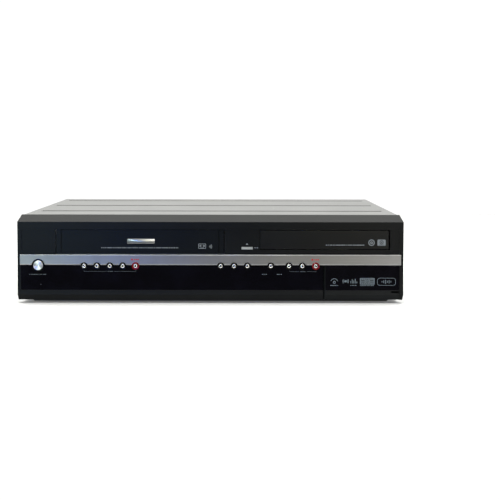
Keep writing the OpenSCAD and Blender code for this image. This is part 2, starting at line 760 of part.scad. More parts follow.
module tray_bezel() color([0.1, 0.1, 0.11]) {
    block([bezel_x0, front + 0.9, bezel_z0], [bezel_x1, tray_y0 - 1, bezel_z1]);
    block([bezel_x0 + 10, tray_y0 - 1.1, bezel_z0 + 4], [bezel_x1 - 10, tray_y0, bezel_z1 - 4]);
}

module tray_gear() color([0.9, 0.9, 0.86]) translate([gear_x, gear_y, 0]) difference() {
    root_r = gear_pitch_r - tooth_reach - 0.3;
    union() {
        translate([0, 0, gear_z]) linear_extrude(gear_h) {
            circle(root_r);
            for (i = [0 : gear_teeth - 1]) rotate(180 + i * 360 / gear_teeth)
                polygon([[root_r - 0.5, -tooth_half[0]], [gear_pitch_r, -tooth_half[1]],
                    [gear_pitch_r + tooth_reach, -tooth_half[2]], [gear_pitch_r + tooth_reach, tooth_half[2]],
                    [gear_pitch_r, tooth_half[1]], [root_r - 0.5, tooth_half[0]]]);
        }
        // pulley for the motor's belt, with a groove
        translate([0, 0, gear_z - 5.5]) rotate_extrude()
            polygon([[0, 0], [9, 0], [9, 1], [8, 2.2], [9, 3.4], [9, 4.6], [5, 5.6], [0, 5.6]]);
    }
    post([0, 0, gear_z - 7], 2 + fit, gear_h + 10);
}

module tray_motor() color([0.7, 0.7, 0.7]) {
    post([motor_x, motor_y, drive_z0 - 14], 10, 14);
    post([motor_x, motor_y, drive_z0 - 0.1], 1, gear_z - drive_z0 - 1);
    translate([motor_x, motor_y, gear_z - 5.5]) rotate_extrude()
        polygon([[0.9, 0], [3.6, 0], [3.6, 1], [2.8, 2.2], [3.6, 3.4], [3.6, 4.4], [0.9, 4.4]]);
}

module pickup_chassis() color([0.25, 0.25, 0.27]) {
    difference() {
        union() {
            block([drive_x - traverse_half, traverse_y0, traverse_z],
                [drive_x + traverse_half, traverse_axis[0] + 3, traverse_z + 2]);
            // lugs that carry the rods
            for (s = [-1, 1], y = [front + 89, pickup_y + pickup_l + pickup_travel + 4])
                block([drive_x + s * rod_x - 3.5, y, traverse_z + 1.9],
                    [drive_x + s * rod_x + 3.5, y + 4, rod_z + 3]);
            bar_x([drive_x - traverse_half - 5.5, traverse_axis[0], traverse_axis[1]], 2,
                2 * traverse_half + 11);
        }
        block([drive_x - 20, pickup_y - 3, traverse_z - 1],
            [drive_x + 20, pickup_y + pickup_l + pickup_travel + 3, traverse_z + 3]);
        post([drive_x, spindle_y, traverse_z - 1], 3, 4);
    }
    // guide rods between the lugs
    for (s = [-1, 1])
        bar_y([drive_x + s * rod_x, front + 93, rod_z], rod_r,
            pickup_y + pickup_l + pickup_travel + 4 - front - 93);
}

module optical_pickup() color([0.4, 0.42, 0.45]) difference() {
    union() {
        block([drive_x - 18, pickup_y, traverse_z - 1], [drive_x + 18, pickup_y + pickup_l, traverse_z + 9]);
        block([drive_x - rod_x - 4, pickup_y, rod_z - 2.6],
            [drive_x + rod_x + 4, pickup_y + pickup_l, rod_z + 2.6]);
        post([drive_x, pickup_y + 8, traverse_z + 8.9], 4, 2.6);
    }
    for (s = [-1, 1]) bar_y([drive_x + s * rod_x, pickup_y - 1, rod_z], rod_r + fit, pickup_l + 2);
}

module spindle_motor() color([0.65, 0.65, 0.66]) difference() {
    post([drive_x, spindle_y, traverse_z - 5], 12, 5);
    post([drive_x, spindle_y, traverse_z - 4], 1.5 + fit, 5);
}

module turntable() color([0.2, 0.2, 0.22]) {
    platter_z = tray_z + 0.8;
    post([drive_x, spindle_y, traverse_z - 3.5], 1.5, 7);
    post([drive_x, spindle_y, traverse_z + 2.6], 12, 4.5);
    post([drive_x, spindle_y, traverse_z + 7], 7, platter_z - traverse_z - 6.9);
    post([drive_x, spindle_y, platter_z], platter_r, 2.2);
    translate([drive_x, spindle_y, platter_z + 2.1]) cylinder(r1 = 7.4, r2 = 6, h = 2.2);
}

// ---------- Cassette deck ----------

module deck_chassis() color([0.66, 0.67, 0.66]) difference() {
    union() {
        block([deck_x - deck_half, deck_y0, deck_z], [deck_x + deck_half, deck_y1, deck_top]);
        both_sides(deck_x) block([deck_x - deck_half, deck_y0 + 14, deck_z - 5],
            [deck_x - deck_half + deck_t, deck_y1 - 14, deck_z + 0.1]);
        post([capstan_x, capstan_y, deck_z], 5, deck_t + bearing_h);
        for (s = [-1, 1]) post([deck_x + s * reel_pitch / 2, reel_y, deck_top - 0.1], 2, 10);
        post([pinch_pivot[0], pinch_pivot[1], deck_top - 0.1], 2.5, 17);
    }
    post([capstan_x, capstan_y, deck_z - 1], 2 + fit, deck_t + bearing_h + 2);
    // slots of the two loading guides
    for (s = [-1, 1]) translate([0, 0, deck_z - 1]) linear_extrude(deck_t + 2)
        slot_2d([deck_x + s * pole_start[0], front + pole_start[1]],
            [deck_x + s * pole_end[0], front + pole_end[1]], 2.3);
    // lightening holes under the cassette
    for (s = [-1, 1])
        block([deck_x + s * 74 - 12, basket_y + 10, deck_z - 1],
            [deck_x + s * 74 + 12, basket_y + 60, deck_top + 1]);
}

// Path of a carriage pin: back from the slot, then down at the corner
module pin_path(y) {
    slot_2d([y - carriage_in, pin_z], [y, pin_z], pin_r + gap);
    slot_2d([y, pin_z], [y, pin_z - carriage_down], pin_r + gap);
}

module carriage_guides() color([0.7, 0.71, 0.7]) {
    top = stud_z + 8;
    both_sides(deck_x) side_sweep(deck_x - guide_x - guide_t, deck_x - guide_x) difference() {
        translate([front + 30, deck_top]) square([155, top - deck_top]);
        for (y = pin_ys) pin_path(y);
        for (y = stud_ys) slot_2d([y - carriage_in, stud_z], [y, stud_z], stud_r + gap);
        translate([front + 52, deck_top + 6]) square([24, 20]);
    }
    block([deck_x - guide_x - guide_t, front + 32, top], [deck_x + guide_x + guide_t, front + 44, top + 1.2]);
}

module carriage_slider() color([0.55, 0.56, 0.58]) {
    z0 = pin_z - carriage_down - 6;
    z1 = stud_z + 5;
    both_sides(deck_x) {
        side_sweep(deck_x - slider_x - basket_t, deck_x - slider_x) difference() {
            translate([basket_y + 11, z0]) square([cassette_l - 6, z1 - z0]);
            for (y = pin_ys) slot_2d([y, pin_z - carriage_down], [y, pin_z], pin_r + gap);
        }
        for (y = stud_ys) bar_x([deck_x - guide_x - guide_t - 0.8, y, stud_z], stud_r, guide_t + 2.3);
    }
    block([deck_x - slider_x - basket_t, basket_y + 76, z1 - 0.1],
        [deck_x + slider_x + basket_t, basket_y + 92, z1 + 1]);
}

module cassette_basket() color([0.6, 0.6, 0.62]) {
    top = slot_z1 + 1.6;
    both_sides(deck_x) {
        // ledge under the cassette, side wall, rear stop and the two pins
        block([deck_x - basket_x, basket_y, basket_z - basket_t],
            [deck_x - 70, basket_y + cassette_l + 1, basket_z]);
        block([deck_x - basket_x - basket_t, basket_y, basket_z - basket_t],
            [deck_x - basket_x, basket_y + cassette_l + 1, top + basket_t]);
        block([deck_x - basket_x, basket_y + cassette_l + 0.6, basket_z - 0.1],
            [deck_x - basket_x + 14, basket_y + cassette_l + 1.8, basket_z + 8]);
        for (y = pin_ys)
            bar_x([deck_x - guide_x - guide_t - 1, y, pin_z], pin_r, guide_x + guide_t + 1 - basket_x - 0.5);
        // leaf that presses the cassette down
        block([deck_x - 62, basket_y + 40, top - 2.4], [deck_x - 46, basket_y + 90, top + 0.1]);
    }
    block([deck_x - basket_x - basket_t, basket_y + 22, top],
        [deck_x + basket_x + basket_t, basket_y + 74, top + basket_t]);
}

// Places the drum's own frame: leaning back about its foot
module drum_frame() translate([deck_x, drum_y, drum_z]) rotate([drum_lean, 0, 0]) children();

module drum_base() color([0.72, 0.73, 0.74]) difference() {
    drum_frame() difference() {
        union() {
            translate([0, 0, -6]) cylinder(r = 27, h = 10);
            cylinder(r = drum_r, h = 18);
        }
        translate([0, 0, 2]) cylinder(r = 3 + fit, h = 18);
        translate([0, 0, 12]) cylinder(r = 12, h = 8);
    }
    block([deck_x - 60, drum_y - 60, deck_top - 20], [deck_x + 60, drum_y + 60, deck_top]);
}

module head_drum() color([0.85, 0.86, 0.87]) drum_frame() difference() {
    union() {
        translate([0, 0, 18.3]) cylinder(r = drum_r, h = 15);
        translate([0, 0, 4]) cylinder(r = 3, h = 16);
    }
    translate([0, 0, 30]) difference() {
        cylinder(r = 26, h = 5);
        translate([0, 0, -1]) cylinder(r = 12, h = 7);
    }
    // windows of the four heads at the lower edge
    for (a = [0 : 90 : 270]) rotate(a) translate([drum_r - 1.5, -2, 18]) cube([3, 4, 3]);
}

module capstan() color([0.8, 0.8, 0.82]) {
    post([capstan_x, capstan_y, floor_top + 3], 2, 34);
    difference() {
        post([capstan_x, capstan_y, floor_top + 1.6], 24, 6);
        post([capstan_x, capstan_y, floor_top + 5], 18, 4);
    }
    post([capstan_x, capstan_y, floor_top + 4], 5, 5);
}

module pinch_arm() color([0.6, 0.61, 0.63])
    translate([pinch_pivot[0], pinch_pivot[1], deck_top]) difference() {
        union() {
            post([0, 0, 0.3], 4.5, 17);
            translate([0, 0, 14]) linear_extrude(1.6) slot_2d([0, 0], pinch_reach, 3.4);
            post([pinch_reach[0], pinch_reach[1], roller_z - 0.5], 1.5, 15 - roller_z);
        }
        post([0, 0, -1], 2.5 + fit, 20);
    }

module pinch_roller() color([0.07, 0.07, 0.07])
    translate([pinch_pivot[0] + pinch_reach[0], pinch_pivot[1] + pinch_reach[1], deck_top]) difference() {
        post([0, 0, roller_z], roller_r, roller_h);
        post([0, 0, roller_z - 1], 1.5 + fit, roller_h + 2);
    }

// A reel table: flange, hub with three fins, blind bore over the deck's pin
module reel(s) color([0.15, 0.15, 0.16])
    translate([deck_x + s * reel_pitch / 2, reel_y, deck_top]) difference() {
        union() {
            post([0, 0, 0.4], reel_r, 4);
            post([0, 0, 4.3], 7, 4);
            post([0, 0, 8.2], 4.6, 11);
            for (a = [0, 120, 240]) rotate(a) translate([0, -0.8, 8.2]) cube([5.8, 1.6, 9]);
            for (a = [0 : 30 : 330]) rotate(a) translate([reel_r - 6, -1, 4.3]) cube([5, 2, 0.6]);
        }
        post([0, 0, -1], 2 + fit, 12);
    }

module supply_reel() reel(-1);
module takeup_reel() reel(1);

// A loading guide post on its sliding foot
module loading_guide(s) color([0.82, 0.82, 0.84])
    translate([deck_x + s * pole_start[0], front + pole_start[1], deck_top]) {
        post([0, 0, -4], 2, 4.5);
        post([0, 0, 0.3], 4.6, 3);
        post([0, 0, 3.2], 2.2, 18);
        post([0, 0, 6], 3, 1.2);
        post([0, 0, 19.5], 3, 1.8);
    }

module supply_guide() loading_guide(-1);
module takeup_guide() loading_guide(1);

module fixed_heads() color([0.7, 0.71, 0.74]) {
    // erase head at the supply side, sound and control head at the take-up side
    translate([deck_x - 50, front + 188, deck_top]) {
        post([0, 0, 0], 3, 6);
        block([-4, -4, 5.9], [4, 4, 18]);
    }
    translate([deck_x + 53, front + 206, deck_top]) {
        post([0, 0, 0], 3, 6);
        block([-5, -4, 5.9], [5, 4, 21]);
    }
}

// ---------- Electronics ----------

module capacitor(x, y, z, r, h) post([x, y, z - 0.01], r, h);

module main_board() color([0.1, 0.36, 0.22]) {
    top = main_z + board_t;
    difference() {
        block([main_x0, main_y0, main_z], [main_x1, rear_y0 - 2, top]);
        for (x = [-1, 1], y = [drive_y0 + 14, drive_y0 + drive_l - 12])
            post([drive_x + x * (drive_half - 4), y, main_z - 1], 4.5, 4);
    }
    // processor under its heat sink, memories, converters
    block([drive_x - 20, front + 120, top], [drive_x + 12, front + 152, top + 3]);
    for (i = [0 : 6])
        block([drive_x - 20 + i * 5, front + 120, top + 2.9], [drive_x - 18 + i * 5, front + 152, top + 12]);
    for (i = [0 : 1])
        block([drive_x + 24, front + 118 + i * 20, top], [drive_x + 46, front + 130 + i * 20, top + 1.4]);
    for (i = [0 : 2])
        block([drive_x - 60 + i * 30, front + 232, top], [drive_x - 42 + i * 30, front + 248, top + 1.8]);
    for (i = [0 : 5]) capacitor(drive_x - 56 + i * 17, front + 270, top, 4, 11);
    // shield can of the tuner
    block([tuner_x, rear_y0 - 62, top], [tuner_x + 28, rear_y0 - 10, top + 42]);
}

module power_board() color([0.55, 0.42, 0.2]) {
    top = main_z + board_t;
    block([power_x0, power_y0, main_z], [power_x1, rear_y0 - 2, top]);
    // switching transformer, mains capacitor, output capacitors, two heat sinks, choke
    block([power_x0 + 84, power_y0 + 20, top], [power_x0 + 116, power_y0 + 48, top + 28]);
    capacitor(power_x0 + 62, power_y0 + 28, top, 11, 34);
    for (i = [0 : 3]) capacitor(power_x0 + 130 + i * 11, power_y0 + 20, top, 4.6, 18);
    block([power_x0 + 76, power_y0 + 8, top], [power_x0 + 79, power_y0 + 40, top + 34]);
    block([power_x0 + 122, power_y0 + 34, top], [power_x0 + 160, power_y0 + 37, top + 30]);
    block([power_x0 + 18, power_y0 + 10, top], [power_x0 + 40, power_y0 + 30, top + 22]);
}

module rear_jacks() color([0.8, 0.78, 0.7]) {
    housing_y = rear_y0 - 14;
    top = jack_z[1] + 9;
    for (i = [0 : 5]) {
        x = jack_x0 + i * jack_pitch;
        block([x - 7, housing_y, main_z + board_t], [x + 7, rear_y0, top]);
        for (z = jack_z) ring_y([x, rear_y0 - 0.1, z], jack_r, 1.6, back + jack_proud - rear_y0 + 0.1);
    }
    // two four-pin video sockets, the optical outlet and two aerial connectors
    x = jack_x0 + 6 * jack_pitch;
    block([x - 7, housing_y, main_z + board_t], [x + 7, rear_y0, top]);
    for (z = jack_z) ring_y([x, rear_y0 - 0.1, z], 4.9, 0.6, 5);
    optic = x + jack_pitch;
    block([optic - 7, housing_y, main_z + board_t], [optic + 7, rear_y0, jack_z[0] + 9]);
    block([optic - 4.4, rear_y0 - 0.1, jack_z[0] - 4.4], [optic + 4.4, rear_y1 + 2, jack_z[0] + 4.4]);
    for (z = jack_z) {
        ring_y([tuner_x + 22, rear_y0 - 10, z], 4.75, 0.7, back + jack_proud - rear_y0 + 10);
        ring_y([tuner_x + 22, rear_y1, z], 6.5, 4.7, 1.5);
    }
}

module mains_inlet() color([0.1, 0.1, 0.1]) {
    depth = 14;
    difference() {
        union() {
            block([inlet_x - 12, rear_y0 - depth, main_z + board_t], [inlet_x + 12, rear_y0, inlet_z + 8]);
            front_sweep(rear_y0 - 0.1, back) inlet_outline(2);
        }
        front_sweep(rear_y0 - depth + 2, back + 1) inlet_outline();
    }
    for (s = [-1, 1]) bar_y([inlet_x + s * 4.3, rear_y0 - depth + 1.9, inlet_z], 1.2, 10);
}

module cooling_fan() color([0.07, 0.07, 0.07]) translate([fan_x, rear_y0 - 10, fan_z]) {
    difference() {
        block([-fan_half, 0, -fan_half], [fan_half, 10, fan_half]);
        bar_y([0, -1, 0], 18.5, 12);
    }
    difference() {
        union() {
            bar_y([0, 0, 0], 8, 1.5);
            for (a = [45 : 90 : 315]) rotate([0, a, 0]) block([7, 0, -1.2], [19, 1.5, 1.2]);
            bar_y([0, 0, 0], 3, 5);
        }
        bar_y([0, -1, 0], 1.5 + fit, 8);
    }
}

module fan_rotor() color([0.1, 0.1, 0.1]) translate([fan_x, rear_y0 - 10, fan_z]) {
    difference() {
        bar_y([0, 2, 0], 9, 7);
        bar_y([0, 1, 0], 7.6, 6.6);
    }
    bar_y([0, 0.4, 0], 1.5, 7.5);
    for (i = [0 : 6]) rotate([0, i * 360 / 7, 0]) translate([8.7, 5.5, 0]) rotate([35, 0, 0])
        block([0, -0.5, -4], [8.6, 0.5, 4]);
}

base_chassis();
feet();
rear_panel();
top_cover();
case_screws();
front_panel();
display_window();
silver_strip();
button_rings();
record_rings();
power_button();
eject_button();
tape_rewind_button();
tape_play_button();
tape_forward_button();
tape_stop_button();
tape_record_button();
channel_down_button();
channel_up_button();
source_button();
dubbing_button();
disc_stop_button();
disc_play_button();
disc_record_button();
cassette_door();
jack_flap();
front_jacks();
key_board();
display_module();
drive_case();
clamp_bridge();
disc_clamper();
disc_tray();
tray_bezel();
tray_gear();
tray_motor();
pickup_chassis();
optical_pickup();
spindle_motor();
turntable();
deck_chassis();
carriage_guides();
carriage_slider();
cassette_basket();
drum_base();
head_drum();
capstan();
pinch_arm();
pinch_roller();
supply_reel();
takeup_reel();
supply_guide();
takeup_guide();
fixed_heads();
main_board();
power_board();
rear_jacks();
mains_inlet();
cooling_fan();
fan_rotor();
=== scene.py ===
"""Looks of the combined disc and cassette player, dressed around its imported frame."""
import json
import logging
import math
import random
from collections.abc import Iterable, Mapping, Sequence
from dataclasses import dataclass, field
from enum import Enum
from itertools import product
from typing import Any

import bmesh
import bpy
from mathutils import Matrix, Vector


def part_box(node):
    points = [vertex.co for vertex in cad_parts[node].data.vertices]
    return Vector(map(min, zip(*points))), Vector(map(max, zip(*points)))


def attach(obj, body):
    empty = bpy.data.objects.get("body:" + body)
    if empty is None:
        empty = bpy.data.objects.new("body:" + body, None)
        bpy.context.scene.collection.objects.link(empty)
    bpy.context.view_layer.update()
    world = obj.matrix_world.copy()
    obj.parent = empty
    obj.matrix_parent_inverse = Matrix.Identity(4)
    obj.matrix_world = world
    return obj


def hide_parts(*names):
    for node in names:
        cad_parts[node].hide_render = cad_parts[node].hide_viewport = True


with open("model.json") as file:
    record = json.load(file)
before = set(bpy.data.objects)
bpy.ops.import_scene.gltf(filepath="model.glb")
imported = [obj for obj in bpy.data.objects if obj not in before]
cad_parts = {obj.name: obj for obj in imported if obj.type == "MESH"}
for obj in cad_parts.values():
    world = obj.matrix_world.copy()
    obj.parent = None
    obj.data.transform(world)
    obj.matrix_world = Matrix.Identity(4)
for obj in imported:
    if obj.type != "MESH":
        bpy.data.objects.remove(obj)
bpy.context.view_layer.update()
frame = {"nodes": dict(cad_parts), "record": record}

LOG = logging.getLogger("player")
# Shapes and finishes are in millimetres; publish() and Graph turn them into metres.
MM = 0.001
UP = (0.0, 0.0, 1.0)
BACK = (0.0, 1.0, 0.0)
SIDES = (-1.0, 1.0)
# Angles in degrees from which an edge is drawn sharp, is rounded, or is taken for flat.
CREASE, BEND, FLAT = 35.0, 28.0, 0.6
WELD = 1e-3
SLOT_OF = {row["node"]: row["material_slot"] for row in frame["record"]["subparts"]}
Colour = tuple[float, float, float]
Point2 = tuple[float, float]
Loop = list[Point2]
# Left and right end, level and height of a row of dashes, and the seed of their lengths.
TextRow = tuple[float, float, float, float, int]
Socket = bpy.types.NodeSocket
Piece = bpy.types.Object
Mesh = bmesh.types.BMesh
Row = Sequence[bmesh.types.BMVert]


# ---------------------------------------------------------------- shader maths


class Port:
    """A value socket that takes part in Python arithmetic; each operation adds its Math node."""

    def __init__(self, graph: "Graph", socket: Socket) -> None:
        """Keeps the graph the socket belongs to."""
        self.graph = graph
        self.socket = socket

    def _math(self, operation: str, *values: "Port | float") -> "Port":
        """Adds one Math node and returns its result."""
        made = self.graph.node("ShaderNodeMath", {"operation": operation}, dict(enumerate(values)))
        return Port(self.graph, made.outputs[0])

    def __add__(self, other: "Port | float") -> "Port":
        """Sum."""
        return self._math("ADD", self, other)

    def __mul__(self, other: "Port | float") -> "Port":
        """Product."""
        return self._math("MULTIPLY", self, other)

    def __sub__(self, other: "Port | float") -> "Port":
        """Difference."""
        return self._math("SUBTRACT", self, other)

    def __rsub__(self, other: float) -> "Port":
        """Difference from a number."""
        return self._math("SUBTRACT", other, self)

    __radd__ = __add__
    __rmul__ = __mul__

    def sine(self) -> "Port":
        """Sine of the value in radians."""
        return self._math("SINE", self)

    def span(self, low: float, high: float) -> "Port":
        """Value that rises softly from 0 at low to 1 at high, and is clamped outside."""
        made = self.graph.node(
            "ShaderNodeMapRange", {"interpolation_type": "SMOOTHSTEP"}, {0: self, 1: low, 2: high}
        )
        return Port(self.graph, made.outputs[0])


class Graph:
    """The node graph of one material or of the world."""

    def __init__(self, owner: bpy.types.Material | bpy.types.World) -> None:
        """Empties the owner's graph."""
        owner.use_nodes = True
        self.tree = owner.node_tree
        self.tree.nodes.clear()

    def node(
        self,
        kind: str,
        settings: Mapping[str, Any] | None = None,
        inputs: Mapping[str | int, Any] | None = None,
    ) -> bpy.types.Node:
        """Adds one node.

        Args:
            kind: The node's type.
            settings: Attributes, set first.
            inputs: Values, ports or sockets by socket name or index.

        Returns:
            The new node.
        """
        made = self.tree.nodes.new(kind)
        for key, value in (settings or {}).items():
            setattr(made, key, value)
        for key, value in (inputs or {}).items():
            source = value.socket if isinstance(value, Port) else value
            if isinstance(source, Socket):
                self.tree.links.new(source, made.inputs[key])
            else:
                made.inputs[key].default_value = source
        return made

    def vector(self, operation: str, *values: Any) -> bpy.types.Node:
        """Adds one Vector Math node."""
        return self.node("ShaderNodeVectorMath", {"operation": operation}, dict(enumerate(values)))

    def place(self, output: str = "Object") -> Socket:
        """Position in the piece's own axes, or another output of the same node."""
        return self.node("ShaderNodeTexCoord").outputs[output]

    def normal(self) -> Socket:
        """Direction that the face looks in."""
        return self.node("ShaderNodeNewGeometry").outputs["Normal"]

    def part(self, source: Socket, axis: int) -> Port:
        """One axis of a vector as a value."""
        return Port(self, self.node("ShaderNodeSeparateXYZ", None, {0: source}).outputs[axis])

    def beyond(self, axis: int, start: float, end: float) -> Port:
        """Mask that rises from 0 to 1 between two levels of one of the piece's own axes."""
        return self.part(self.place(), axis).span(start * MM, end * MM)

    def noise(
        self,
        size: float,
        detail: float = 2.0,
        stretch: Sequence[float] = (1.0, 1.0, 1.0),
        source: Socket | None = None,
    ) -> Port:
        """Noise from 0 to 1 whose blobs have a real size.

        Args:
            size: Size of a blob.
            detail: Octaves of finer noise on it.
            stretch: Factor on each axis; below 1 draws the blobs out along it.
            source: Coordinates, or the piece's own.

        Returns:
            The noise value.
        """
        where = self.vector("MULTIPLY", source or self.place(), stretch).outputs[0]
        inputs = {"Vector": where, "Scale": 1 / (size * MM), "Detail": detail}
        return Port(self, self.node("ShaderNodeTexNoise", None, inputs).outputs[0])

    def cells(self, size: float, feature: str = "F1") -> tuple[Port, Socket]:
        """Cells of a real size.

        Args:
            size: Size of a cell.
            feature: Kind of distance in the cell.

        Returns:
            The distance from the cell's middle, and the cell's own colour.
        """
        inputs = {"Vector": self.place(), "Scale": 1 / (size * MM)}
        made = self.node("ShaderNodeTexVoronoi", {"feature": feature}, inputs)
        return Port(self, made.outputs[0]), made.outputs[1]

    def blend(self, share: Port, low: Any, high: Any) -> Socket:
        """Colour that goes from low to high.

        Args:
            share: 0 for low and 1 for high.
            low: Colour or socket.
            high: Colour or socket.

        Returns:
            The mixed colour.
        """
        ends = [(*end, 1.0) if isinstance(end, tuple) else end for end in (low, high)]
        made = self.node("ShaderNodeMix", {"data_type": "RGBA"}, {0: share, 6: ends[0], 7: ends[1]})
        return made.outputs[2]

    def tint(self, share: Port, colour: Colour, low: float, high: float) -> Socket:
        """Colour that goes with share from one brightness of a colour to another."""
        ends = (tuple(min(1.0, channel * factor) for channel in colour) for factor in (low, high))
        return self.blend(share, *ends)

    def edges(self, reach: float) -> Port:
        """Mask that is 1 along the piece's own edges, for the wear there.

        Args:
            reach: Width of the band along an edge.

        Returns:
            The mask.
        """
        soft = self.node("ShaderNodeBevel", {"samples": 4}, {"Radius": reach * MM}).outputs[0]
        made = self.vector("DOT_PRODUCT", soft, self.normal())
        return (1.0 - Port(self, made.outputs["Value"])).span(0.01, 0.2)

    def bump(self, height: Port, depth: float) -> Socket:
        """Normal of a relief.

        Args:
            height: The relief, from 0 to 1.
            depth: Real height that 1 stands for.

        Returns:
            The normal.
        """
        inputs = {"Strength": 1.0, "Distance": depth * MM, "Height": height}
        return self.node("ShaderNodeBump", None, inputs).outputs[0]

    def principled(self, **inputs: Any) -> Socket:
        """Principled shader; _ in a name stands for a space."""
        named = {key.replace("_", " "): value for key, value in inputs.items()}
        return self.node("ShaderNodeBsdfPrincipled", None, named).outputs[0]

    def mixed(self, share: Any, first: Socket, second: Socket) -> Socket:
        """Two shaders mixed: the first at 0, the second at 1."""
        return self.node("ShaderNodeMixShader", None, {0: share, 1: first, 2: second}).outputs[0]

    def surface(self, **inputs: Any) -> None:
        """Ends the graph in one principled shader."""
        self.node("ShaderNodeOutputMaterial", None, {0: self.principled(**inputs)})


# ---------------------------------------------------------------- finishes


@dataclass(frozen=True)
class Finish:
    """What every finish shares: a name, a colour and how rough it is."""

    name: str
    colour: Colour
    roughness: float

    def material(self) -> bpy.types.Material:
        """The Blender material, made once."""
        found = bpy.data.materials.get(f"finish_{self.name}")
        if found is None:
            found = bpy.data.materials.new(f"finish_{self.name}")
            self.paint(Graph(found))
        return found

    def paint(self, graph: Graph) -> None:
        """Fills the empty graph of the material."""
        raise NotImplementedError


@dataclass(frozen=True)
class Plastic(Finish):
    """Injection-moulded plastic: eroded grain, faint flow clouds, polished scuffs and bright edges."""

    grain: float = 0.35
    depth: float = 0.012
    specular: float = 0.5

    def paint(self, graph: Graph) -> None:
        """Fills the graph."""
        cloud = graph.noise(48, 3.0)
        scuff = graph.noise(2.4, 3.0, (0.12, 1.0, 1.0)).span(0.62, 0.78)
        edge = graph.edges(0.5)
        tone = (cloud * 0.8 + scuff * 0.15 + edge * 0.35).span(0.2, 1.1)
        graph.surface(
            Base_Color=graph.tint(tone, self.colour, 0.8, 1.5),
            Roughness=cloud * 0.1 + (self.roughness - 0.05) - scuff * 0.05 - edge * 0.06,
            Specular_IOR_Level=self.specular,
            Normal=graph.bump(graph.noise(self.grain), self.depth),
        )


@dataclass(frozen=True)
class Gloss(Finish):
    """Polished plastic or lacquer: deep colour, hairlines, a haze of finger marks and a few dust specks."""

    specular: float = 0.5

    def paint(self, graph: Graph) -> None:
        """Fills the graph."""
        haze = graph.noise(22, 4.0).span(0.42, 0.72)
        hairs = graph.noise(0.5, 1.0, (0.02, 1.0, 1.0)).span(0.66, 0.74)
        specks = 1.0 - graph.cells(6)[0].span(0.012, 0.03)
        graph.surface(
            Base_Color=graph.tint(haze * 0.5 + specks * 0.5, self.colour, 1.0, 2.4),
            Roughness=haze * 0.07 + hairs * 0.05 + specks * 0.4 + self.roughness,
            Specular_IOR_Level=self.specular,
            Normal=graph.bump(graph.noise(14, 1.0) * 0.6 + hairs * 0.02, 0.02),
        )


@dataclass(frozen=True)
class PaintedSheet(Finish):
    """Painted steel sheet: fine leathery paint, dust on top, rubbed edges and a few light scratches."""

    grain: float = 0.55
    depth: float = 0.02
    dust: float = 0.12
    dust_colour: Colour = (0.3, 0.3, 0.28)

    def paint(self, graph: Graph) -> None:
        """Fills the graph."""
        cloud = graph.noise(90, 3.0)
        leather = graph.noise(self.grain, 3.0)
        scratch = graph.noise(2, 1.0, (0.9, 0.05, 0.05)).span(0.74, 0.8)
        drift = graph.noise(70, 8.0).span(0.3, 0.8)
        specks = 1.0 - graph.cells(2.6)[0].span(0.06, 0.1)
        upward = graph.part(graph.normal(), 2).span(0.6, 1.0)
        settled = upward * (drift * 0.8 + specks * 0.6) * self.dust
        edge = graph.edges(0.6)
        tone = (cloud * 0.5 + leather * 0.3 + edge * 0.4).span(0.2, 1.0)
        painted = graph.tint(tone, self.colour, 0.82, 1.3)
        graph.surface(
            Base_Color=graph.blend(settled + scratch * 0.04, painted, self.dust_colour),
            Roughness=cloud * 0.06 + settled * 0.25 + (self.roughness - 0.03) - scratch * 0.06 - edge * 0.08,
            Normal=graph.bump(leather + scratch * 0.1, self.depth),
        )


@dataclass(frozen=True)
class Zinc(Finish):
    """Zinc-plated sheet: spangles of slightly different shine, white bloom and rolling lines."""

    spangle: float = 7.0

    def paint(self, graph: Graph) -> None:
        """Fills the graph."""
        distance, tint = graph.cells(self.spangle)
        flake = graph.part(tint, 0)
        rolled = graph.noise(0.6, 2.0, (1.0, 0.03, 1.0))
        bloom = graph.noise(25, 5.0).span(0.5, 0.85)
        graph.surface(
            Base_Color=graph.tint(flake * 0.35 + rolled * 0.3 + bloom * 0.35, self.colour, 0.75, 1.2),
            Metallic=1.0 - bloom * 0.25,
            Roughness=flake * 0.12 + bloom * 0.2 + rolled * 0.06 + self.roughness,
            Normal=graph.bump(rolled * 0.4 + distance * 0.5, 0.012),
        )


class Lay(Enum):
    """Direction of the tool marks in a metal surface, as factors on the coordinates of the noise."""

    ALONG_X = (0.012, 1.0, 1.0)
    ALONG_Z = (1.0, 1.0, 0.012)
    TURNED = (1.0, 1.0, 0.0)


@dataclass(frozen=True)
class Metal(Finish):
    """Bare or plated metal with tool marks: brushed along an axis, or turned about the piece's Z axis."""

    lay: Lay = Lay.ALONG_X
    line: float = 0.16
    depth: float = 0.006
    bloom: float = 0.08
    spread: float = 0.0

    def marks(self, graph: Graph, size: float) -> Port:
        """Tool marks of one width.

        Args:
            graph: The material's graph.
            size: Width of a mark.

        Returns:
            Noise along lines, or by the distance from the centre line.
        """
        if self.lay is not Lay.TURNED:
            return graph.noise(size, 2.0, self.lay.value)
        flat = graph.vector("MULTIPLY", graph.place(), self.lay.value).outputs[0]
        away = graph.vector("LENGTH", flat).outputs["Value"]
        line = graph.node("ShaderNodeCombineXYZ", None, {0: away}).outputs[0]
        return graph.noise(size, 2.0, source=line)

    def paint(self, graph: Graph) -> None:
        """Fills the graph."""
        fine = self.marks(graph, self.line)
        broad = self.marks(graph, self.line * 6)
        stain = graph.noise(14, 4.0).span(0.45, 0.85)
        edge = graph.edges(0.3)
        tone = (fine * 0.3 + broad * 0.5 + edge * 0.4 - stain * 0.2).span(0.1, 1.0)
        graph.surface(
            Base_Color=graph.tint(tone, self.colour, 0.82, 1.12),
            Metallic=1.0,
            Roughness=fine * 0.1 + stain * self.bloom + (self.roughness - 0.05),
            Anisotropic=self.spread,
            Anisotropic_Rotation=0.25,
            Normal=graph.bump(fine * 0.7 + broad * 0.5, self.depth),
        )


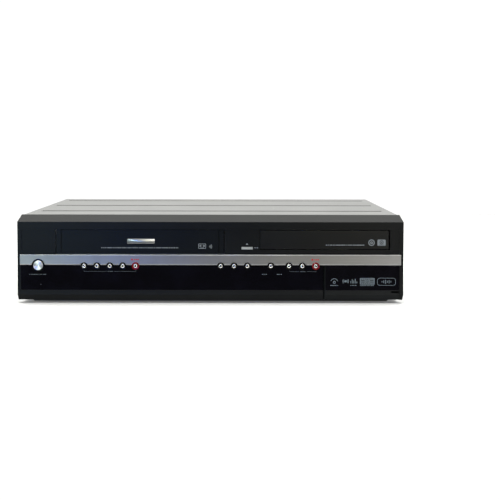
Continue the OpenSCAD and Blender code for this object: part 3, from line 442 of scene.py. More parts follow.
@dataclass(frozen=True)
class Rubber(Finish):
    """Rubber: chalky bloom and fine pores."""

    specular: float = 0.3

    def paint(self, graph: Graph) -> None:
        """Fills the graph."""
        bloom = graph.noise(6, 5.0).span(0.4, 0.85)
        graph.surface(
            Base_Color=graph.tint(bloom, self.colour, 1.0, 2.6),
            Roughness=bloom * 0.15 + self.roughness,
            Specular_IOR_Level=self.specular,
            Normal=graph.bump(graph.noise(0.25), 0.03),
        )


@dataclass(frozen=True)
class Board(Finish):
    """Circuit board: lacquer over copper tracks, tinned pads, dark tall parts and a tinned shield can."""

    level: float = 1000.0
    can_x: float = 1000.0
    can_foot: float = 1.7
    moulded: Colour = (0.012, 0.012, 0.013)
    tin: Colour = (0.62, 0.6, 0.52)

    def paint(self, graph: Graph) -> None:
        """Fills the graph."""
        distance, tint = graph.cells(5, "SMOOTH_F1")
        wander = graph.noise(30, 1.0) * 40.0
        tracks = (graph.part(graph.place(), 0) * 2400.0 + wander).sine().span(0.3, 0.5)
        ground = graph.part(tint, 1).span(0.45, 0.55)
        flat = 1.0 - graph.beyond(2, self.level, self.level + 0.1)
        foot = self.level + self.can_foot
        can = graph.beyond(2, foot, foot + 0.1) * graph.beyond(0, self.can_x - 0.1, self.can_x)
        copper = tracks * (1.0 - ground) * 0.7 + ground * 0.45
        pads = 1.0 - distance.span(0.08, 0.11)
        cloud = graph.noise(8)
        tracked = graph.blend(pads, graph.tint(copper, self.colour, 1.0, 2.1), self.tin)
        parts = graph.tint(cloud, self.moulded, 1.0, 2.5)
        graph.surface(
            Base_Color=graph.blend(can, graph.blend(flat, parts, tracked), self.tin),
            Metallic=pads * flat * 0.9 + can * 0.9,
            Roughness=cloud * 0.15 + self.roughness,
            Normal=graph.bump((copper + pads) * flat, 0.03),
        )


@dataclass(frozen=True)
class Ink(Finish):
    """Pad-printed ink: slightly uneven cover with a dry, rubbed grain."""

    def paint(self, graph: Graph) -> None:
        """Fills the graph."""
        cover = graph.noise(0.4, 4.0).span(0.25, 0.75)
        graph.surface(
            Base_Color=graph.tint(cover, self.colour, 0.7, 1.0),
            Roughness=cover * 0.1 + self.roughness,
            Specular_IOR_Level=0.3,
        )


@dataclass(frozen=True)
class StudioPaper(Finish):
    """The pale table top: soft paper fibre, lifted a little so that it stays white to its rim."""

    glow: float = 0.12

    def paint(self, graph: Graph) -> None:
        """Fills the graph."""
        fibre = graph.noise(3, 4.0)
        graph.surface(
            Base_Color=graph.tint(fibre, self.colour, 0.985, 1.0),
            Roughness=fibre * 0.1 + self.roughness,
            Specular_IOR_Level=0.1,
            Emission_Color=(1.0, 1.0, 1.0, 1.0),
            Emission_Strength=self.glow,
        )


@dataclass(frozen=True)
class Zoned(Finish):
    """Gloss above a level and satin moulding below it, on one piece."""

    level: float = 14.8
    satin: Colour = (0.007, 0.0078, 0.008)

    def paint(self, graph: Graph) -> None:
        """Fills the graph."""
        facing = graph.part(graph.place("Normal"), 1) * -1.0
        above = graph.beyond(2, self.level - 0.05, self.level + 0.05)
        haze = graph.noise(22, 4.0).span(0.42, 0.72)
        cloud = graph.noise(48, 3.0).span(0.2, 1.1)
        edge = graph.edges(0.5)
        polished = graph.principled(
            Base_Color=graph.tint(haze * 0.5, self.colour, 1.0, 2.4),
            Roughness=haze * 0.07 + self.roughness,
            Specular_IOR_Level=0.25,
            Normal=graph.bump(graph.noise(14, 1.0) * 0.6, 0.02),
        )
        matt = graph.principled(
            Base_Color=graph.tint(cloud + edge * 0.3, self.satin, 0.8, 1.5),
            Roughness=cloud * 0.1 + 0.33,
            Specular_IOR_Level=0.11,
            Normal=graph.bump(graph.noise(0.35), 0.012),
        )
        shader = graph.mixed(above * facing.span(0.9, 0.99), matt, polished)
        graph.node("ShaderNodeOutputMaterial", None, {0: shader})


class Palette:
    """Every finish of the player by the name of its material slot, and the few that have none."""

    SLOTS: dict[str, Finish] = {
        finish.name: finish
        for finish in (
            Zinc("zinc_sheet", (0.52, 0.54, 0.55), 0.28),
            Rubber("foot_rubber", (0.012, 0.012, 0.012), 0.6),
            PaintedSheet("rear_sheet", (0.022, 0.022, 0.023), 0.42, dust=0.05),
            PaintedSheet("cover_paint", (0.03, 0.031, 0.0285), 0.36),
            Metal("screw_black", (0.03, 0.03, 0.032), 0.38, Lay.TURNED),
            Plastic("panel_plastic", (0.0068, 0.0074, 0.0076), 0.36, specular=0.1),
            Gloss("gloss_window", (0.0012, 0.0011, 0.0026), 0.05, specular=0.2),
            Metal("brushed_trim", (0.29, 0.29, 0.292), 0.45, line=0.07, depth=0.013, bloom=0.01, spread=0.9),
            Gloss("ring_black", (0.0015, 0.0015, 0.002), 0.16, specular=0.2),
            Gloss("ring_red", (0.2, 0.004, 0.007), 0.18, specular=0.3),
            Metal("key_metal", (0.9, 0.89, 0.87), 0.24, Lay.TURNED, line=0.09),
            Plastic("door_plastic", (0.005, 0.006, 0.0064), 0.34, specular=0.1),
            Metal("jack_metal", (0.72, 0.69, 0.6), 0.22, Lay.TURNED),
            Board("circuit_board", (0.012, 0.1, 0.04), 0.3),
            Gloss("display_glass", (0.01, 0.03, 0.03), 0.05),
            Plastic("inner_plastic", (0.02, 0.02, 0.022), 0.45),
            Plastic("white_plastic", (0.68, 0.67, 0.62), 0.4),
            Metal("motor_metal", (0.5, 0.5, 0.51), 0.3, Lay.ALONG_Z),
            Metal("drum_alloy", (0.74, 0.75, 0.77), 0.2, Lay.ALONG_Z),
            Rubber("roller_rubber", (0.01, 0.01, 0.01), 0.55),
            Board("power_circuit", (0.2, 0.12, 0.04), 0.4, level=15.6),
            Plastic("inlet_plastic", (0.012, 0.012, 0.013), 0.4),
        )
    }
    PRINT = Ink("print_pale", (0.3, 0.325, 0.345), 0.5)
    PRINT_RED = Ink("print_red", (0.7, 0.02, 0.02), 0.5)
    PRINT_BLUE = Ink("print_blue", (0.16, 0.195, 0.22), 0.5)
    PRINT_DIM = Ink("print_dim", (0.085, 0.1, 0.112), 0.5)
    PRINT_DARK = Ink("print_dark", (0.004, 0.004, 0.006), 0.5)
    PRINT_FAINT = Ink("print_faint", (0.0065, 0.0055, 0.008), 0.4)
    MAIN_BOARD = Board("main_circuit", (0.012, 0.1, 0.04), 0.3, level=15.6, can_x=164.2)
    FLAP = Zoned("flap_plastic", (0.0014, 0.0012, 0.0026), 0.05)
    BEZEL = Plastic("bezel_plastic", (0.0046, 0.005, 0.0052), 0.34, specular=0.16)
    BAR = Plastic("silver_bar", (0.46, 0.47, 0.46), 0.35)
    BADGE = Metal("badge_plate", (0.56, 0.57, 0.57), 0.3, bloom=0.02)
    DIMPLE = Gloss("key_dimple", (0.0015, 0.0015, 0.004), 0.6, specular=0.05)
    SPUN = Metal("spun_cap", (0.92, 0.91, 0.88), 0.36, Lay.TURNED, line=0.12, depth=0.02, spread=0.95)
    # Brighter metal for the silver strip's bevels only: a painted highlight line along its edges.
    TRIM_HIGHLIGHT = Metal("trim_edge_highlight", (0.6, 0.6, 0.6), 0.4, bloom=0.01)
    # Near-black matt rubber of the pad in the flap's finger notch: painted shade.
    NOTCH_SHADE = Rubber("notch_shade_black", (0.001, 0.001, 0.001), 0.7, specular=0.0)
    RING = Gloss("shutter_black", (0.004, 0.004, 0.005), 0.2)
    BEIGE = Plastic("chip_beige", (0.35, 0.3, 0.2), 0.4)
    SLEEVE = Gloss("can_sleeve", (0.004, 0.006, 0.02), 0.25)
    BELT = Rubber("belt_rubber", (0.008, 0.008, 0.008), 0.5)
    YELLOW = Plastic("socket_yellow", (0.75, 0.5, 0.02), 0.4)
    RED = Plastic("socket_red", (0.6, 0.015, 0.015), 0.4)
    WHITE = Plastic("socket_white", (0.75, 0.75, 0.72), 0.4)
    GREEN = Plastic("socket_green", (0.02, 0.3, 0.07), 0.4)
    BLUE = Plastic("socket_blue", (0.02, 0.09, 0.5), 0.4)
    PAPER = StudioPaper("studio_paper", (0.48, 0.48, 0.48), 0.6)


# ---------------------------------------------------------------- mesh making


def corners(node: str) -> tuple[Vector, Vector]:
    """Lowest and highest corner of a node."""
    low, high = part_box(node)
    return low / MM, high / MM


def publish(name: str, mesh: Mesh) -> Piece:
    """Turns a bmesh into an object of the scene, smooth except at its creases.

    Args:
        name: Name of the piece.
        mesh: The finished bmesh, which is freed.

    Returns:
        The object.
    """
    mesh.transform(Matrix.Scale(MM, 4))
    bmesh.ops.recalc_face_normals(mesh, faces=mesh.faces)
    data = bpy.data.meshes.new(name)
    mesh.to_mesh(data)
    mesh.free()
    data.shade_smooth()
    data.set_sharp_from_angle(angle=math.radians(CREASE))
    made = bpy.data.objects.new(name, data)
    bpy.context.scene.collection.objects.link(made)
    return made


def stand(at: Sequence[float], axis: Sequence[float]) -> Matrix:
    """Matrix that stands a shape made along +Z on a point, along an axis."""
    turn = Vector(UP).rotation_difference(Vector(axis)).to_matrix().to_4x4()
    return Matrix.Translation(Vector(at)) @ turn


def loft(mesh: Mesh, low: Row, high: Row) -> None:
    """Adds the faces between two closed outlines with the same number of vertices."""
    for step in range(len(low)):
        following = (step + 1) % len(low)
        mesh.faces.new((low[step], low[following], high[following], high[step]))


def oblong(x: float, z: float, width: float, height: float) -> Loop:
    """Corners of an upright oblong by its centre and size."""
    half, rise = width / 2, height / 2
    return [(x - half, z - rise), (x + half, z - rise), (x + half, z + rise), (x - half, z + rise)]


def arc(x: float, z: float, radius: float, start: float = 0.0, turn: float = 360.0, steps: int = 20) -> Loop:
    """Points along an arc.

    Args:
        x: Centre.
        z: Centre.
        radius: Radius.
        start: First angle in degrees from +X.
        turn: Angle between the first point and the last.
        steps: Number of points less one.

    Returns:
        The points, both ends included.
    """
    angles = [math.radians(start + turn * step / steps) for step in range(steps + 1)]
    return [(x + radius * math.cos(angle), z + radius * math.sin(angle)) for angle in angles]


def rounded(loop: Sequence[Point2], radius: float, steps: int = 3, closed: bool = False) -> Loop:
    """A path with its corners replaced by small arcs.

    Args:
        loop: Corner points.
        radius: Radius wanted; short sides get a smaller one.
        steps: Points in each arc less one.
        closed: True for an outline, False to leave both ends as they are.

    Returns:
        The new points.
    """
    made: Loop = []
    count = len(loop)
    for index, corner in enumerate(loop):
        if not closed and index in (0, count - 1):
            made.append(corner)
            continue
        here = Vector(corner)
        before = Vector(loop[index - 1]) - here
        after = Vector(loop[(index + 1) % count]) - here
        reach = min(radius, before.length * 0.45, after.length * 0.45)
        start = here + before.normalized() * reach
        end = here + after.normalized() * reach
        for step in range(steps + 1):
            share = step / steps
            point = start * (1 - share) ** 2 + here * 2 * share * (1 - share) + end * share**2
            made.append((point.x, point.y))
    return made


class Turning:
    """Round pieces turned from profiles of (radius, height), gathered into one mesh."""

    def __init__(self, steps: int = 40, mesh: Mesh | None = None) -> None:
        """Starts a mesh, or goes on with one, with so many facets round each piece."""
        self.mesh = mesh or bmesh.new()
        self.steps = steps

    def add(
        self,
        profile: Sequence[Point2],
        at: Sequence[float] = (0.0, 0.0, 0.0),
        axis: Sequence[float] = UP,
        material: int = 0,
    ) -> "Turning":
        """Adds one turned piece.

        Args:
            profile: Points from the start of the axis to its end; a closed ring repeats its first point.
            at: Where the axis starts.
            axis: Direction of the axis.
            material: Index of the material slot.

        Returns:
            This object, so that pieces chain.
        """
        matrix = stand(at, axis)
        rows = []
        for radius, height in profile:
            spots = arc(0.0, 0.0, radius, steps=self.steps)[:-1] if radius > WELD else [(0.0, 0.0)]
            rows.append([self.mesh.verts.new(matrix @ Vector((x, y, height))) for x, y in spots])
        for low, high in zip(rows, rows[1:]):
            for step in range(self.steps):
                ring = [
                    low[step % len(low)],
                    low[(step + 1) % len(low)],
                    high[(step + 1) % len(high)],
                    high[step % len(high)],
                ]
                ring = list(dict.fromkeys(ring))
                if len(ring) > 2:
                    self.mesh.faces.new(ring).material_index = material
        return self

    def done(self, name: str) -> Piece:
        """Welds closed rings and returns the finished piece."""
        bmesh.ops.remove_doubles(self.mesh, verts=self.mesh.verts, dist=WELD)
        return publish(name, self.mesh)


class Stencil:
    """Thin marks printed on a flat face, drawn as 2D outlines and raised by the thickness of the ink."""

    INK = 0.04

    def __init__(self, node: str, coats: int = 1, sunk: float = 0.0, rear: bool = False) -> None:
        """Starts the marks of one face.

        Args:
            node: The node that is printed on.
            coats: Coats of ink.
            sunk: How far the face lies behind the front of the node.
            rear: True for the face at the back of the node.
        """
        low, high = corners(node)
        self.face = high.y if rear else low.y + sunk
        self.rise = self.INK * coats * (1.0 if rear else -1.0)
        self.shapes: list[Loop] = []

    def shape(self, loop: Sequence[Point2]) -> None:
        """Adds a filled convex outline."""
        self.shapes.append(list(loop))

    def bar(self, x: float, z: float, width: float, height: float, corner: float = 0.0) -> None:
        """Adds a bar by its centre, size and corner radius."""
        loop = oblong(x, z, width, height)
        self.shape(rounded(loop, corner, 3, True) if corner else loop)

    def line(self, start: float, end: float, z: float, height: float) -> None:
        """Adds a level bar between two ends."""
        self.bar((start + end) / 2, z, end - start, height)

    def bars(
        self, x: float, z: float, pitch: float, width: float, heights: Sequence[float], lift: float = 0.0
    ) -> None:
        """Adds a row of upright bars.

        Args:
            x: Middle of the first.
            z: Height of the row.
            pitch: Step from one to the next.
            width: Width of a bar.
            heights: Height of each.
            lift: Share of its height that a bar is raised by.
        """
        for step, height in enumerate(heights):
            self.bar(x + step * pitch, z + height * lift, width, height)

    def arrow(self, x: float, z: float, length: float, half: float) -> None:
        """Adds a triangle with its tip at a point; length is negative for one that points to -X."""
        self.shape([(x, z), (x - length, z + half), (x - length, z - half)])

    def band(self, outer: Sequence[Point2], inner: Sequence[Point2], closed: bool = True) -> None:
        """Adds the strip between two paths.

        Args:
            outer: One path.
            inner: The other, with the same number of points.
            closed: True for outlines, False for open paths.
        """
        last = len(outer) if closed else len(outer) - 1
        for step in range(last):
            following = (step + 1) % len(outer)
            self.shape([outer[step], outer[following], inner[following], inner[step]])

    def box(self, x: float, z: float, width: float, height: float, line: float, corner: float) -> None:
        """Adds a rounded box drawn as a line.

        Args:
            x: Centre.
            z: Centre.
            width: Size outside.
            height: Size outside.
            line: Width of the line.
            corner: Radius of the corners.
        """
        sides = [
            rounded(oblong(x, z, width - 2 * inset, height - 2 * inset), corner - inset * 0.6, 5, True)
            for inset in (0.0, line)
        ]
        self.band(*sides)

    def ring(
        self, x: float, z: float, outer: float, inner: float, start: float = 0.0, turn: float = 360.0
    ) -> None:
        """Adds a ring or an arc.

        Args:
            x: Centre.
            z: Centre.
            outer: Outer radius.
            inner: Inner radius.
            start: First angle in degrees from +X.
            turn: Angle that it covers.
        """
        steps = max(8, int(turn / 12))
        paths = [arc(x, z, radius, start, turn, steps) for radius in (outer, inner)]
        self.band(*paths, closed=False)

    def waves(
        self, x: float, z: float, reaches: Sequence[float], line: float, start: float, turn: float
    ) -> None:
        """Adds an arc of one line width for each reach about a centre."""
        for reach in reaches:
            self.ring(x, z, reach, reach - line, start, turn)

    def dot(self, x: float, z: float, radius: float) -> None:
        """Adds a filled disc."""
        self.shape(arc(x, z, radius)[:-1])

    def dashes(self, left: float, right: float, z: float, height: float, seed: int) -> None:
        """Adds a row of short dashes where small print would stand.

        Args:
            left: Start of the row.
            right: End of the row.
            z: Height of its middle.
            height: Height of a dash.
            seed: Seed of the dashes' lengths.
        """
        chance = random.Random(seed)
        x = left
        while x < right - height:
            length = min(height * chance.uniform(0.7, 2.4), right - x)
            self.bar(x + length / 2, z, length, height)
            x += length + height * chance.choice((0.35, 0.35, 0.9))

    def done(self, name: str) -> Piece:
        """Returns the marks as one piece."""
        mesh = bmesh.new()
        for loop in self.shapes:
            foot, top = (
                [mesh.verts.new((x, y, z)) for x, z in loop] for y in (self.face, self.face + self.rise)
            )
            mesh.faces.new(top)
            loft(mesh, foot, top)
        return publish(name, mesh)


class Blocks:
    """Box-shaped pieces with rounded edges, gathered into one mesh."""

    def __init__(self) -> None:
        """Starts an empty mesh."""
        self.mesh = bmesh.new()

    def add(self, low: Sequence[float], high: Sequence[float], radius: float, material: int = 0) -> "Blocks":
        """Adds one box.

        Args:
            low: Lowest corner.
            high: Highest corner.
            radius: Rounding of every edge.
            material: Index of the material slot.

        Returns:
            This object, so that boxes chain.
        """
        middle = (Vector(high) + Vector(low)) / 2
        half = (Vector(high) - Vector(low)) / 2
        reach = min(radius, min(half) * 0.6)
        spots = {}
        for signs in product((-1, 1), repeat=3):
            for axis in range(3):
                spot = Vector([sign * (size - reach) for sign, size in zip(signs, half)])
                spot[axis] = signs[axis] * half[axis]
                spots[signs, axis] = self.mesh.verts.new(middle + spot)
        loops = [[spots[signs, axis] for axis in range(3)] for signs in product((-1, 1), repeat=3)]
        for axis, (first, second) in enumerate(((1, 2), (0, 2), (0, 1))):
            for one, other in product((-1, 1), repeat=2):
                ends = [self.corner({axis: side, first: one, second: other}) for side in (-1, 1)]
                loops.append([spots[ends[0], first], spots[ends[1], first],
                              spots[ends[1], second], spots[ends[0], second]])
            for side in (-1, 1):
                turns = ((-1, -1), (1, -1), (1, 1), (-1, 1))
                ring = [self.corner({axis: side, first: a, second: b}) for a, b in turns]
                loops.append([spots[signs, axis] for signs in ring])
        for loop in loops:
            self.mesh.faces.new(loop).material_index = material
        return self

    @staticmethod
    def corner(signs: Mapping[int, int]) -> tuple[int, ...]:
        """Signs of a corner in the order of the axes."""
        return tuple(signs[axis] for axis in range(3))

    def done(self, name: str) -> Piece:
        """Returns the boxes as one piece."""
        return publish(name, self.mesh)


def sweep(path: Sequence[Vector], section: Sequence[Point2], closed: bool = False) -> Mesh:
    """Draws a section along a path, for belts and flat cables.

    Args:
        path: Points of the path.
        section: Outline across it: sideways, and along the path's upward side.
        closed: True for a loop.

    Returns:
        The mesh.
    """
    mesh = bmesh.new()
    rows = []
    count = len(path)
    for index, point in enumerate(path):
        before = path[index - 1] if closed or index else point
        after = path[(index + 1) % count] if closed or index < count - 1 else point
        ahead = (after - before).normalized()
        side = ahead.cross(Vector(UP)).normalized()
        over = side.cross(ahead)
        rows.append([mesh.verts.new(point + side * across + over * rise) for across, rise in section])
    for low, high in list(zip(rows, rows[1:])) + ([(rows[-1], rows[0])] if closed else []):
        loft(mesh, low, high)
    if not closed:
        mesh.faces.new(rows[0])
        mesh.faces.new(rows[-1])
    return mesh


def screw(mesh: Mesh, at: Sequence[float], axis: Sequence[float], radius: float, height: float) -> None:
    """Adds a domed screw head with a cross recess.

    Args:
        mesh: The mesh to add to.
        at: Middle of the head's seat.
        axis: Direction out of the seat.
        radius: Radius of the head.
        height: Height of the head.
    """
    matrix = stand(at, axis)
    arm, half = radius * 0.5, radius * 0.13
    cross: Loop = []
    for quarter in range(4):
        spin = Matrix.Rotation(math.radians(90 * quarter), 2)
        cross += [(spin @ Vector(spot))[:] for spot in ((arm, -half), (arm, half), (half, half))]

    def row(points: Iterable[Point2], factor: float, level: float) -> Row:
        """Vertices of one outline, drawn larger or smaller, at a level of the head."""
        return [mesh.verts.new(matrix @ Vector((x * factor, y * factor, level * height))) for x, y in points]

    dome = ((1.0, 0.0), (1.0, 0.3), (0.94, 0.55), (0.8, 0.8), (0.62, 0.96))
    circle = arc(0.0, 0.0, radius, steps=28)[:-1]
    rim = [row(circle, share, level) for share, level in dome]
    for low, high in zip(rim, rim[1:]):
        loft(mesh, low, high)
    mouth = row(cross, 1.0, 1.0)
    floor = row(cross, 0.72, 0.35)
    loft(mesh, floor, mouth)
    mesh.faces.new(floor)
    border = []
    for outline in (rim[-1], mouth):
        for pair in zip(outline, outline[1:] + outline[:1]):
            border.append(mesh.edges.get(pair) or mesh.edges.new(pair))
    bmesh.ops.triangle_fill(mesh, edges=border, use_beauty=True)


def soften(piece: Piece, width: float) -> None:
    """Gives a piece of sheet or plastic small rounded edges of one width through modifiers."""
    weld = piece.modifiers.new("weld", "WELD")
    weld.merge_threshold = WELD * MM
    merge = piece.modifiers.new("merge", "DECIMATE")
    merge.decimate_type = "DISSOLVE"
    merge.angle_limit = math.radians(FLAT)
    bevel = piece.modifiers.new("edges", "BEVEL")
    bevel.width = width * MM
    bevel.segments = 2
    bevel.limit_method = "ANGLE"
    bevel.angle_limit = math.radians(BEND)
    bevel.harden_normals = True
    bevel.use_clamp_overlap = True
    bevel.miter_outer = "MITER_SHARP"


# ---------------------------------------------------------------- sub-assemblies


@dataclass
class Assembly:
    """A group of pieces that are built, dressed and joined to their bodies together."""

    def fit(self, piece: Piece, body: str, *finishes: Finish, node: str = "") -> None:
        """Dresses a new piece and lets it ride on its body.

        Args:
            piece: The object, in place.
            body: Name of the body.
            finishes: One finish for each material index; without any, that of the node's slot.
            node: Node that the piece stands for, if any.
        """
        for finish in finishes or (Palette.SLOTS[SLOT_OF[node]],):
            piece.data.materials.append(finish.material())
        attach(piece, body)
        if node:
            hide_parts(node)
        LOG.info("piece %s on body %s, %d faces", piece.name, body, len(piece.data.polygons))

    def build(self) -> None:
        """Makes and dresses the pieces."""
        raise NotImplementedError


@dataclass
class CadDressing(Assembly):
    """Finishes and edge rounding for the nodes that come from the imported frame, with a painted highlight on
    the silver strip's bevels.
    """

    widths: dict[str, float] = field(
        default_factory=lambda: {
            "front_panel": 0.35,
            "cassette_door": 0.3,
            "tray_bezel": 0.4,
            "jack_flap": 0.1,
            "display_window": 0.15,
            "silver_strip": 0.5,
            "top_cover": 0.3,
            "rear_panel": 0.15,
            "disc_tray": 0.3,
            "eject_button": 0.2,
        }
    )
    plain: float = 0.12
    own: dict[str, Finish] = field(
        default_factory=lambda: {
            "jack_flap": Palette.FLAP,
            "eject_button": Palette.BAR,
            "tray_bezel": Palette.BEZEL,
            "main_board": Palette.MAIN_BOARD,
        }
    )
    smooth: tuple[str, ...] = ("jack_flap", "cassette_door")
    # The bevels of these nodes get a brighter second finish: a painted highlight along their edges.
    bright: dict[str, Finish] = field(default_factory=lambda: {"silver_strip": Palette.TRIM_HIGHLIGHT})

    def build(self) -> None:
        """Dresses each node with the finish of its slot in the record, or with its own."""
        for name, piece in frame["nodes"].items():
            finish = self.own.get(name, Palette.SLOTS[SLOT_OF[name]])
            piece.data.materials.clear()
            piece.data.materials.append(finish.material())
            soften(piece, self.widths.get(name, self.plain))
            if name in self.smooth:
                piece.modifiers.new("even", "WEIGHTED_NORMAL").keep_sharp = True
            # Painted highlight: the bevel faces take the brighter finish.
            if name in self.bright:
                piece.data.materials.append(self.bright[name].material())
                piece.modifiers["edges"].material = 1
        LOG.info("dressed %d nodes", len(frame["nodes"]))


@dataclass
class Keys(Assembly):
    """Round keys, their rings and the power button."""

    names: tuple[str, ...] = (
        "tape_rewind", "tape_play", "tape_forward", "tape_stop", "tape_record", "channel_down",
        "channel_up", "source", "dubbing", "disc_stop", "disc_play", "disc_record",
    )
    record: tuple[str, ...] = ("tape_record", "disc_record")
    cap: float = 2.62
    dimple: float = 1.1
    dimple_depth: float = 0.6
    bore: float = 2.77
    ring_rim: float = 1.23
    record_rim: float = 1.42
    ring_length: float = 5.3
    power_cap: float = 5.4
    power_ring: tuple[float, float, float] = (7.0, 5.6, 5.6)
    collar: float = 1.2
    key_tail: tuple[float, float, float] = (5.9, 7.4, 1.6)
    power_tail: tuple[float, float, float] = (6.6, 8.0, 2.0)
    facets: int = 48
    power_facets: int = 64

    def middle(self, node: str) -> Vector:
        """Middle of a key's front."""
        low, high = corners(node)
        return Vector(((low.x + high.x) / 2, low.y, (low.z + high.z) / 2))

    def tail(self, cap: float, start: float, end: float, stem: float, length: float) -> Loop:
        """Profile behind a cap.

        Args:
            cap: Radius of the cap.
            start: Where its collar starts.
            end: Where its collar ends.
            stem: Radius of the stem behind the collar.
            length: Where the stem ends.

        Returns:
            The points from the cap to the axis.
        """
        wide = cap + self.collar
        return [(cap, start), (wide, start), (wide, end), (stem, end), (stem, length), (0.0, length)]

    def key(self, name: str) -> None:
        """Builds one function key: a plated cap with a dark dimple, its shoulder and its stem.

        Args:
            name: Name of the key.
        """
        node = f"{name}_button"
        low, high = corners(node)
        length = high.y - low.y
        face = [
            (0.0, self.dimple_depth),
            (self.dimple * 0.55, self.dimple_depth * 0.92),
            (self.dimple * 0.9, self.dimple_depth * 0.5),
            (self.dimple, 0.1),
        ]
        skirt = [
            (self.dimple, 0.1), (self.dimple + 0.2, 0.0), (self.cap * 0.62, 0.08), (self.cap * 0.82, 0.3),
            (self.cap * 0.95, 0.68), (self.cap, 1.1), *self.tail(self.cap, *self.key_tail, length),
        ]
        turning = Turning().add(face, material=1).add(rounded(skirt, 0.2))
        self.settle(turning, node, f"{name}_key", Palette.SLOTS["key_metal"])

    def settle(self, turning: Turning, node: str, body: str, metal: Finish) -> None:
        """Places a turned key, whose own axis is Z, so that it points back from its face.

        Args:
            turning: The key.
            node: Node that it stands for.
            body: Its body, and the name of the piece.
            metal: Finish of its cap.
        """
        piece = turning.done(body)
        turn = Matrix.Rotation(math.radians(-90), 4, "X")
        piece.matrix_world = Matrix.Translation(self.middle(node) * MM) @ turn
        self.fit(piece, body, metal, Palette.DIMPLE, node=node)

    def ring(self, turning: Turning, key: str, rings: str, outer: float, inner: float, length: float) -> None:
        """Adds one ring with a rounded lip and a coved inside.

        Args:
            turning: Receives the ring.
            key: Node of the key in it.
            rings: Node of the rings, which says where their fronts are.
            outer: Outer radius.
            inner: Inner radius.
            length: Length from front to back.
        """
        at = self.middle(key)
        at.y = corners(rings)[0].y
        profile = [
            (inner, length), (inner, 0.3), (inner + 0.1, 0.0), (outer - 0.1, 0.0), (outer, 0.12),
            (outer, length), (inner, length),
        ]
        turning.add(rounded(profile, 0.08), at, BACK)

    def build(self) -> None:
        """Builds every key and both sets of rings."""
        black, red = Turning(self.facets), Turning(self.facets)
        for name in self.names:
            self.key(name)
            marked = name in self.record
            rim = self.record_rim if marked else self.ring_rim
            self.ring(red if marked else black, f"{name}_button", "record_rings", self.bore + rim, self.bore,
                      self.ring_length)
        self.ring(black, "power_button", "button_rings", *self.power_ring)
        self.fit(black.done("key_rings"), "case", node="button_rings")
        self.fit(red.done("record_key_rings"), "case", node="record_rings")
        self.power()

    def power(self) -> None:
        """Builds the power button: a shallow spun cone in a rounded rim."""
        low, high = corners("power_button")
        cap = self.power_cap
        profile = [
            (0.0, 0.28), (cap * 0.1, 0.26), (cap * 0.9, 0.0), (cap, 0.4),
            *self.tail(cap, *self.power_tail, high.y - low.y),
        ]
        turning = Turning(self.power_facets).add(rounded(profile, 0.22))
        self.settle(turning, "power_button", "power_key", Palette.SPUN)


